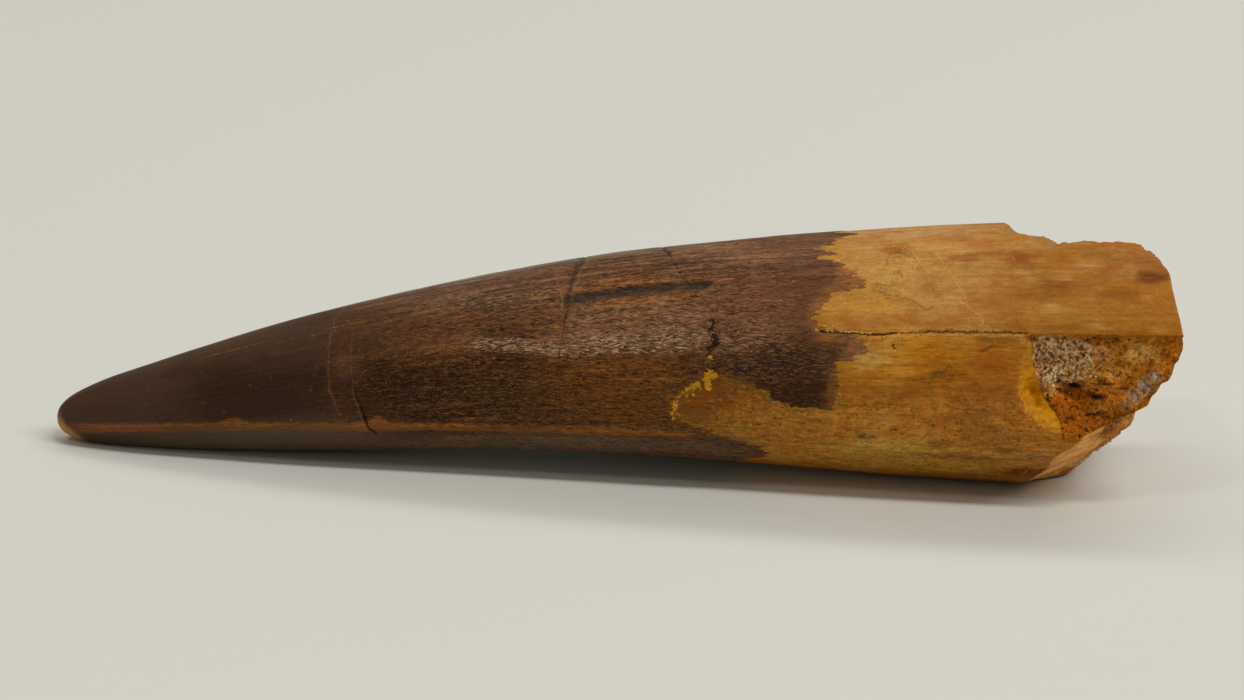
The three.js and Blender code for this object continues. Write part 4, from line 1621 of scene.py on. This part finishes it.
        rings = count + self.end_rings
        start = (np.arange(rings - 1) * around)[:, None]
        here = np.arange(around)[None]
        beside = (here + 1) % around
        quads = np.stack([start + here, start + around + here, start + around + beside, start + beside], -1)
        tip_fan = np.stack([here[0], beside[0], np.full(around, len(self.points) - 2)], 1)
        final = (rings - 1) * around
        hub_fan = np.stack([final + beside[0], final + here[0], np.full(around, len(self.points) - 1)], 1)
        quads = quads.reshape(-1, 4)
        halves = np.concatenate([quads[:, [0, 1, 2]], quads[:, [0, 2, 3]]])
        self.faces = np.concatenate([halves, tip_fan, hub_fan])

        face_at = face[:, 0] + self.form.length / 2
        up = z - self.form.middle(self.end.section)
        face_angle = np.mod(np.degrees(np.arctan2(up, -y)) + 90, 360) - 90
        self.at = np.concatenate([at, face_at, [0, ends.max()]])
        self.angle = np.concatenate([angle, face_angle, [0, 0]])
        self.on_face = np.zeros(len(self.points))
        self.on_face[len(outside):] = 1
        self.on_face[-2] = 0

    def on_end(self) -> np.ndarray:
        """Say which corners lie on the broken end."""
        return self.on_face > 0.5

    def relief(self) -> np.ndarray:
        """Give the low relief of the surface, in or out from a section's middle.

        Returns:
            Millimetres for each corner.
        """
        size = self.form.half_height(self.at)
        turn = np.radians(self.angle)
        y, z = size * np.cos(turn), size * np.sin(turn)
        long = bumps(self.at / 7 + 3, y / 1.1) + bumps(self.at / 7 + 11, z / 1.1)
        short = bumps(self.at / 1.6, y / 0.45 + 5) + bumps(self.at / 1.6 + 7, z / 0.45)
        relief = self.long_relief * long + self.short_relief * short * self.wrinkled()
        groove = np.zeros(len(self.at))
        for crack in DARK_CRACKS:
            away = np.hypot(*crack.measure(self.form, self.at, self.angle).T)
            groove = np.maximum(groove, crack.depth * bell(away, 0, self.groove_width))
        streak = DARK_STREAK.inside(self.form, self.at, self.angle)
        groove = np.maximum(groove, self.streak_depth * step(streak, -0.1, 0.3))
        enamel = self.enamel_rise * step(self.edges[Edge.ENAMEL], -0.3, 0.3)
        relief = relief - groove + enamel - self.skin
        return relief * (1 - self.on_face) * step(self.at, 0, 4)

    def wrinkled(self) -> np.ndarray:
        """Say how wrinkled the enamel is: smooth at the tip, rough in the middle.

        Returns:
            Shares from 0 to 1 for each corner.
        """
        wear = self.enamel
        calmer = 1 - wear.wrinkles_lost * step(self.at, *wear.wrinkles_fall)
        return mix(wear.least_wrinkled, 1.0, step(self.at, *wear.wrinkles_rise) * calmer)

    def measure(self) -> None:
        """Measure each corner from the edges between finishes."""
        form, wear, at, angle = self.form, self.root, self.at, self.angle
        _, below = self.flake.edges(form, at, angle)
        spots = form.unroll(at, angle)
        crust = np.full(len(at), -REACH)
        for spot_at, spot_angle, size in CRUST_SPOTS:
            away = np.linalg.norm(spots - form.unroll(spot_at, spot_angle), axis=1)
            crust = np.maximum(crust, size - away)
        below = np.clip(below + 0.1, -REACH, REACH)
        on_end = self.on_end()
        self.edges = {
            Edge.ENAMEL: ENAMEL_EDGE.inside(form, at, angle),
            Edge.STREAK: DARK_STREAK.inside(form, at, angle),
            Edge.YELLOW_CRUST: crust,
            Edge.YELLOW_BAND: YELLOW_BAND.inside(form, at, angle),
            Edge.FLAKE: np.minimum(STONE_SCAR.inside(form, at, angle), below),
        }
        depth, lip, _ = self.end.zones(form, self.points[:, 1], self.points[:, 2])
        for edge in (Edge.ENAMEL, Edge.STREAK, Edge.YELLOW_CRUST, Edge.YELLOW_BAND):
            self.edges[edge] = np.where(on_end, -REACH, self.edges[edge])
        self.edges[Edge.FLAKE] = np.where(on_end, depth - wear.fill_inside, self.edges[Edge.FLAKE])
        outer_lip = step(LIP.inside(form, at, angle), *wear.lip_edge)
        lower = 1 - wear.lip_lower_lost * step(angle, *wear.lip_lower)
        width = mix(wear.lip_wide, wear.lip_narrow, step(angle, *wear.lip_narrows))
        end_lip = lip * lower * (1 - step(depth, width, width + wear.lip_fade))
        self.lip = np.where(on_end, end_lip, outer_lip)

    def nearest(self, cracks: Sequence[Crack]) -> np.ndarray:
        """Measure each corner from the nearest of some cracks.

        Args:
            cracks: The cracks.

        Returns:
            One row for each corner: sideways and past an end, in half widths, and how strong.
        """
        best = np.full((len(self.at), 3), FAR)
        size = np.full(len(self.at), FURTHEST)
        for crack in cracks:
            found = crack.measure(self.form, self.at, self.angle)
            away = np.hypot(*found.T)
            closer = away < size
            best[closer, :2] = found[closer]
            best[closer, 2] = crack.strength
            size = np.minimum(size, away)
        best[self.on_end()] = (FAR, FAR, 0)
        return best

    def dress(self, piece: bpy.types.Object) -> None:
        """Store on the mesh all that its material reads.

        Args:
            piece: The tooth's object.
        """
        at, angle, turn = self.at, self.angle, np.radians(self.angle)
        around = np.stack([at, self.grain_spread * np.cos(turn), self.grain_spread * np.sin(turn)], 1)
        left = self.chips.floor(self.points[:, 0], self.points[:, 1]) - self.root.chip_margin
        low, high = self.root.chipped
        masks = {
            "grain": np.where(self.on_end()[:, None], self.points, around),
            "spot": self.points,
            "crown": stained(self.form, self.finish.crown, CROWN_STAINS, at, angle),
            "root": stained(self.form, self.finish.root, ROOT_STAINS, at, angle),
            **{edge.value: values for edge, values in self.edges.items()},
            "chipped": np.where((at > low) & (at < high) & (self.points[:, 2] > left), 1.0, 0.0),
            "stone": self.stone_stained(),
        }
        for name, lines in (("dark", DARK_CRACKS), ("brown", BROWN_MARKS), ("light", LIGHT_CRACKS)):
            for part, values in zip(("_side", "_past", "_strength"), self.nearest(lines).T):
                masks[name + part] = values
        for name, values in (masks | self.worn()).items():
            carry(piece.data, name, values)

    def worn(self) -> dict[str, np.ndarray]:
        """Say where the enamel and the root are wrinkled, worn and porous, and where highlight and
        reflection are painted on the enamel.

        Returns:
            Numbers for each corner, under the names that the material reads.
        """
        form, at, angle, enamel, root = self.form, self.at, self.angle, self.enamel, self.root
        turn = np.radians(angle)
        lean = np.where(turn > 0, enamel.tip_lean_above, enamel.tip_lean_below) * np.sin(turn)
        curly = root.curls.share(at, angle) * (1 - self.on_face)
        scar_gaps = root.gaps - root.gaps_lost * step(at, *root.gaps_fall)
        # The rim below is the painted reflection along the top of the crown.
        rim = (1 - enamel.rim_back_lost * step(angle, *enamel.rim_back)) * step(at, *enamel.rim_rise)
        rim_angle = mix(*enamel.rim_angles, step(at, *enamel.rim_turns))
        rim = rim * (1 - step(at, *enamel.rim_fall)) * bell(angle, rim_angle, enamel.rim_width)
        streaky = step(angle, *enamel.streaks_above) * (1 - 0.5 * step(angle, *enamel.streaks_back))
        upper = form.beside(form.upper_ridge, at, angle)
        front = form.beside(form.front_carina, at, angle)
        rear = form.beside(form.rear_carina, at, angle)
        behind = np.abs(rear) < np.abs(front)
        lobes = sum(size * bell(at, place, width) for size, place, width in enamel.lobes)
        carina = np.where(behind, rear, front - lobes * (front > enamel.lobes_above))
        bare = mix(enamel.carina_least, 1.0, step(at, *enamel.carina_grows)) * step(at, *enamel.carina_rise)
        bare = bare * (1 - step(at, *enamel.carina_fall))
        bare = bare * (1 - enamel.carina_eased * step(at, *enamel.carina_eases))
        soft = (1 - step(at, *enamel.edge_soft_until)) * (1 - step(angle, *enamel.edge_soft_below))
        soft = soft * step(angle, *enamel.edge_soft_above)
        porous = step(at, *root.porous_rise) * (1 - step(angle, *root.porous_below))
        porous = porous * step(angle, *root.porous_above)
        return {
            "along": np.where(self.on_end(), enamel.end_along, at + lean + enamel.tip_shift),
            "wrinkled": self.wrinkled(),
            "glints": self.painted_highlight(),
            "scuffed": root.scuffs.share(at, angle),
            "curly": curly,
            "gappy": np.where(self.on_end(), self.end_gaps(), scar_gaps) - root.gaps_lost * curly,
            "top_wear": rim,
            "banded": root.band_least + (1 - root.band_least) * step(angle, *root.band_fall),
            "upper": streaky * step(at, *enamel.streaks_rise),
            "lower": step(angle, *root.lower_fall) + 0.5 * step(angle, *root.lower_back),
            "upper_ridge": np.clip(upper, -enamel.clip, enamel.clip),
            "upper_wear": step(at, *enamel.upper_rise) * (1 - step(at, *enamel.upper_fall)),
            "carina": np.clip(carina, -enamel.clip, enamel.clip),
            "carina_wear": bare * np.where(behind, enamel.carina_rear, 1),
            "soft_edge": mix(enamel.edge_sharp, enamel.edge_soft, soft),
            "porous": np.where(angle < root.back_from, porous, root.porous_back),
            "lip": self.lip,
        }

    def end_gaps(self) -> np.ndarray:
        """Say where the sandstone of the broken end is full of dark gaps.

        Returns:
            Shares from 0 to 1 for each corner.
        """
        y, z = self.points[:, 1], self.points[:, 2]
        uneven = bumps(y / 2.3 + 1, z / 2.0) + 0.4 * bumps(y / 0.9, z / 1.0 + 2)
        return 0.3 + 0.6 * step(uneven, -0.3, 0.6)

    def painted_highlight(self) -> np.ndarray:
        """Say where a highlight is painted on the wrinkled enamel: a band above the front ridge, a slanting
        band higher up and a patch on the lobe.

        Returns:
            Shares from 0 to 1 for each corner.
        """
        at, angle, wear = self.at, self.angle, self.enamel
        low = mix(*wear.glint_lowest, step(at, *wear.glint_turns))
        beside = step(angle - low, 0, 2.5) * (1 - 0.3 * step(angle, low + 10, low + 15))
        right = step(at, *wear.glint_right) * (1 - 0.5 * step(angle, low + 9, low + 17))
        right = right * (1 - step(angle, *wear.glint_top))
        left = step(at, *wear.glint_left) * (1 - step(angle, low + 8, low + 12))
        band = beside * np.maximum(left, right) * (1 - wear.glint_eased * step(at, *wear.glint_eases))
        band = band * (1 - step(at, *wear.glint_fall))
        slanted = angle - wear.gleam_angle + (at - wear.gleam_at) * wear.gleam_slope
        upper = bell(slanted, 0, wear.gleam_width) * step(at, *wear.gleam_rise)
        upper = upper * (1 - step(at, *wear.gleam_fall))
        lobe = step(at, *wear.lobe_rise) * step(angle, *wear.lobe_above)
        lobe = lobe * (1 - step(angle, *wear.lobe_below))
        return wear.glint_band * band + wear.glint_upper * upper + wear.glint_lobe * lobe

    def stone_stained(self) -> np.ndarray:
        """Colour the stone by its place, on the scar and across the end.

        Returns:
            One linear colour for each corner.
        """
        wear, base = self.root, self.finish.stone_base
        scar = stained(self.form, base, STONE_STAINS, self.at, self.angle)
        y, z = self.points[:, 1], self.points[:, 2]
        # Painted shade: patches of the broken end are darkened for its hollows, from a noise close to, but
        # not the same as, the end's relief.
        mottle = step(bumps(y / 1.5 + 7, z / 1.3) + 0.5 * bumps(y / 3.1, z / 2.7), -0.6, 0.5)
        face = np.tile(np.array(linear(base)), (len(y), 1))
        face = face * (wear.fill_least + wear.fill_swing * mottle)[:, None]
        grey = bumps(y / 4.5 + 3, z / 3.8) + 0.5 * bumps(y / 1.3, z / 1.1) + 0.3 * bumps(y / 0.6, z / 0.5)
        yellow = step(bumps(y / 3.1 - 8, z / 3.3) + 0.4 * bumps(y / 1.1, z / 1.4 + 4), 0.1, 0.6)
        strip = wear.strip(y, z) * (0.9 + 0.5 * bumps(y / 0.9, z / 0.8))
        grey = np.clip(step(grey, 0.0, 0.6) * step(y, *wear.grey_front) + strip, 0, 1)
        face = mix(face, np.array(linear(wear.grey_fill)), grey[:, None] * wear.grey_share)
        face = mix(face, np.array(linear(wear.yellow_fill)), yellow[:, None] * wear.yellow_share)
        return np.where(self.on_end()[:, None], face, scar)

    def make(self, shift: Vector) -> bpy.types.Object:
        """Build and dress the tooth.

        Args:
            shift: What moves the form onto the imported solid, in millimetres.

        Returns:
            The tooth's object.
        """
        self.build()
        self.measure()
        outward = self.form.place(self.at, self.angle, 1.0) - self.form.place(self.at, self.angle, 0.0)
        moved = self.points + outward * self.relief()[:, None]
        moved[:, 2] = np.maximum(moved[:, 2], 0)
        moved = keep_in_box(moved + np.array(shift))
        piece = make_piece("fossil_tooth", moved, self.faces, self.finish.material())
        self.dress(piece)
        LOG.info("%s: %d corners, %d triangles", piece.name, len(moved), len(self.faces))
        return piece


@dataclass
class SandGrains:
    """Grains of sand stuck to the scar and to the broken end, joined into one mesh."""

    tooth: Tooth
    seed: int = 11
    scar_grains: int = 60
    end_grains: int = 650
    smallest: float = 0.08
    largest: float = 0.2
    proud: float = -0.35
    scar_margin: float = 0.15
    end_margin: float = 0.1
    stretch: tuple = (0.6, 1.4)
    uneven: tuple = (0.75, 1.15)
    brightness: tuple = (0.7, 1.15)
    roughness: float = 0.75
    specular: float = 0.2
    colours: tuple = ("ceaa80", "b48c60", "dcc09a", "9c7448", "b88044", "bc9870")

    def chances(self) -> tuple[np.ndarray, np.ndarray]:
        """Say how likely each triangle of the tooth is to hold a grain.

        Returns:
            Chances on the scar, and chances on the broken end.
        """
        tooth = self.tooth
        a, b, c = (tooth.points[tooth.faces[:, i]] for i in range(3))
        area = 0.5 * np.linalg.norm(np.cross(b - a, c - a), axis=1)
        at = tooth.at[tooth.faces].mean(1)
        angle = tooth.angle[tooth.faces].mean(1)
        inside = tooth.edges[Edge.FLAKE][tooth.faces].min(1)
        on_face = tooth.on_face[tooth.faces].min(1)
        scar = area * tooth.root.sand.share(at, angle) * (inside > self.scar_margin) * (on_face < 0.5)
        y, z = b[:, 1], b[:, 2]
        patches = step(bumps(y / 4.5 + 3, z / 3.8) + 0.4 * bumps(y / 1.3, z / 1.1), 0.0, 0.5)
        sandy = patches * step(y, *tooth.root.grey_front) + tooth.root.strip(y, z)
        end = area * sandy * (inside > self.end_margin) * (on_face > 0.5)
        return scar, end

    def seat(
        self, chances: np.ndarray, count: int, rng: np.random.Generator
    ) -> tuple[np.ndarray, np.ndarray]:
        """Pick seats for grains on the tooth.

        Args:
            chances: How likely each triangle is.
            count: How many grains.
            rng: Where chance comes from.

        Returns:
            The seats, and the way out from each.
        """
        tooth = self.tooth
        picked = rng.choice(len(chances), count, p=chances / chances.sum())
        shares = rng.dirichlet((1, 1, 1), count)
        corners = tooth.points[tooth.faces[picked]]
        out = np.cross(corners[:, 1] - corners[:, 0], corners[:, 2] - corners[:, 0])
        return np.einsum("nc,ncx->nx", shares, corners), out / np.linalg.norm(out, axis=1)[:, None]

    def make(self, shift: Vector) -> bpy.types.Object:
        """Build the grains.

        Args:
            shift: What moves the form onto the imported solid, in millimetres.

        Returns:
            The object that joins them all.
        """
        rng = np.random.default_rng(self.seed)
        scar, end = self.chances()
        seats = [self.seat(scar, self.scar_grains, rng), self.seat(end, self.end_grains, rng)]
        where = np.concatenate([seat[0] for seat in seats])
        out = np.concatenate([seat[1] for seat in seats])
        ball = bmesh.new()
        bmesh.ops.create_icosphere(ball, subdivisions=2, radius=1.0)
        corners = np.array([list(corner.co) for corner in ball.verts])
        faces = np.array([[corner.index for corner in face.verts] for face in ball.faces])
        ball.free()
        count = len(where)
        size = rng.uniform(self.smallest, self.largest, (count, 1, 1))
        shape = corners[None] * rng.uniform(*self.stretch, (count, 1, 3))
        shape = shape * rng.uniform(*self.uneven, (count, len(corners), 1))
        turns = np.linalg.qr(rng.normal(size=(count, 3, 3)))[0]
        middles = where + out * size[:, 0] * self.proud
        points = np.einsum("nij,nkj->nki", turns, shape * size) + middles[:, None]
        flipped = np.linalg.det(turns) < 0
        all_faces = faces[None] + (np.arange(count) * len(corners))[:, None, None]
        all_faces[flipped] = all_faces[flipped][:, :, ::-1]
        points = keep_in_box(points.reshape(-1, 3) + np.array(shift))
        graph = Graph("sand_grain_finish")
        fleck = graph.noise(graph.read("spot", "Vector"), 5.0, 2.0, 0.5)
        colour = graph.shade(graph.read("tint", "Vector"), fleck + 0.5)
        material = graph.finish(colour, self.roughness, None, self.specular)
        piece = make_piece("sand_grains", points, all_faces.reshape(-1, 3), material)
        palette = np.array([linear(code) for code in self.colours])
        tint = palette[rng.integers(0, len(palette), count)] * rng.uniform(*self.brightness, (count, 1))
        carry(piece.data, "tint", np.repeat(tint, len(corners), 0))
        carry(piece.data, "spot", points)
        LOG.info("%s: %d grains, %d triangles", piece.name, count, all_faces.size // 3)
        return piece


@dataclass(frozen=True)
class Lamp:
    """A flat lamp that faces the tooth, with its first side along the tooth."""

    name: str
    towards: tuple
    distance: float
    size: tuple
    power: float

    def hang(self) -> None:
        """Hang the lamp at its distance and size in metres, with its power in watts."""
        light = bpy.data.lights.new(self.name, "AREA")
        light.shape = "RECTANGLE"
        light.size, light.size_y = self.size
        light.energy = self.power
        lamp = bpy.data.objects.new(self.name, light)
        direction = Vector(self.towards).normalized()
        across = direction.cross(Vector((1, 0, 0))).normalized()
        along = across.cross(direction)
        lamp.location = direction * self.distance
        lamp.rotation_mode = "QUATERNION"
        lamp.rotation_quaternion = Matrix((along, across, direction)).transposed().to_quaternion()
        bpy.context.scene.collection.objects.link(lamp)


@dataclass
class Studio:
    """A pale floor, soft light and the camera."""

    azimuth: float = 5.0
    elevation: float = 20.0
    distance: float = 300.0
    target: tuple = (2.2, 0.0, 12.3)
    view_width: float = 133.0
    sensor: float = 36.0
    floor_half: float = 3.0
    floor_colour: Colour = linear("dad8d0")
    floor_roughness: float = 0.7
    floor_specular: float = 0.3
    lamps: tuple = (
        Lamp("key_lamp", (0.55, -0.24, 0.80), 2.6, (2.08, 0.277), 38.6),
        Lamp("back_lamp", (0.17, 0.43, 0.86), 1.4, (1.82, 0.266), 6.4),
        Lamp("side_lamp", (-0.42, 0.24, 0.87), 1.5, (0.3, 0.3), 1.0),
        Lamp("left_lamp", (-0.32, -0.45, 0.83), 1.0, (0.12, 0.12), 0.75),
    )
    sky: Colour = linear("e6e6d2")
    sky_strength: float = 0.235

    def floor(self) -> bpy.types.Object:
        """Lay the floor.

        Returns:
            The floor's object.
        """
        graph = Graph("pale_floor")
        material = graph.finish(self.floor_colour, self.floor_roughness, None, self.floor_specular)
        half = self.floor_half / MM
        corners = np.array([[-half, -half, 0], [half, -half, 0], [half, half, 0], [-half, half, 0]], float)
        floor = make_piece("floor", corners, np.array([[0, 1, 2, 3]]), material)
        return floor

    def lights(self) -> None:
        """Light the scene from above, from behind and all round."""
        for lamp in self.lamps:
            lamp.hang()
        world = bpy.data.worlds.new("pale_room")
        world.use_nodes = True
        background = world.node_tree.nodes["Background"]
        background.inputs["Color"].default_value = (*self.sky, 1.0)
        background.inputs["Strength"].default_value = self.sky_strength
        bpy.context.scene.world = world
        bpy.context.scene.view_settings.view_transform = "Standard"

    def camera(self, shift: Vector) -> None:
        """Set up the camera.

        Args:
            shift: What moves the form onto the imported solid, in millimetres.
        """
        lens = bpy.data.cameras.new("camera")
        lens.sensor_width = self.sensor
        lens.lens = self.sensor * self.distance / self.view_width
        camera = bpy.data.objects.new("camera", lens)
        turn, rise = math.radians(self.azimuth), math.radians(self.elevation)
        back = Vector((math.sin(turn) * math.cos(rise), -math.cos(turn) * math.cos(rise), math.sin(rise)))
        camera.location = (Vector(self.target) + shift + back * self.distance) * MM
        camera.rotation_mode = "QUATERNION"
        camera.rotation_quaternion = back.to_track_quat("Z", "Y")
        bpy.context.scene.collection.objects.link(camera)
        bpy.context.scene.camera = camera

    def make(self, shift: Vector) -> None:
        """Build the studio round the tooth.

        Args:
            shift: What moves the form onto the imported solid, in millimetres.
        """
        self.floor()
        self.lights()
        self.camera(shift)


def form_to_solid(form: Form) -> Vector:
    """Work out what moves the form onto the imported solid.

    Args:
        form: The outer form.

    Returns:
        A move in millimetres.
    """
    low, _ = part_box(SOLID)
    return Vector((low.x / MM + form.length / 2, 0.0, 0.0))


def main() -> None:
    """Build the tooth and its studio, and report each piece."""
    logging.basicConfig(level=logging.INFO, format="%(name)s: %(message)s")
    form = Form()
    shift = form_to_solid(form)
    tooth = Tooth(form, BrokenEnd(), MissingFlake(), CrestChips(), ToothFinish())
    for piece in (tooth.make(shift), SandGrains(tooth).make(shift)):
        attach(piece, BODY)
        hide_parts(SOLID)
    Studio().make(shift)


if __name__ == "__main__":
    main()
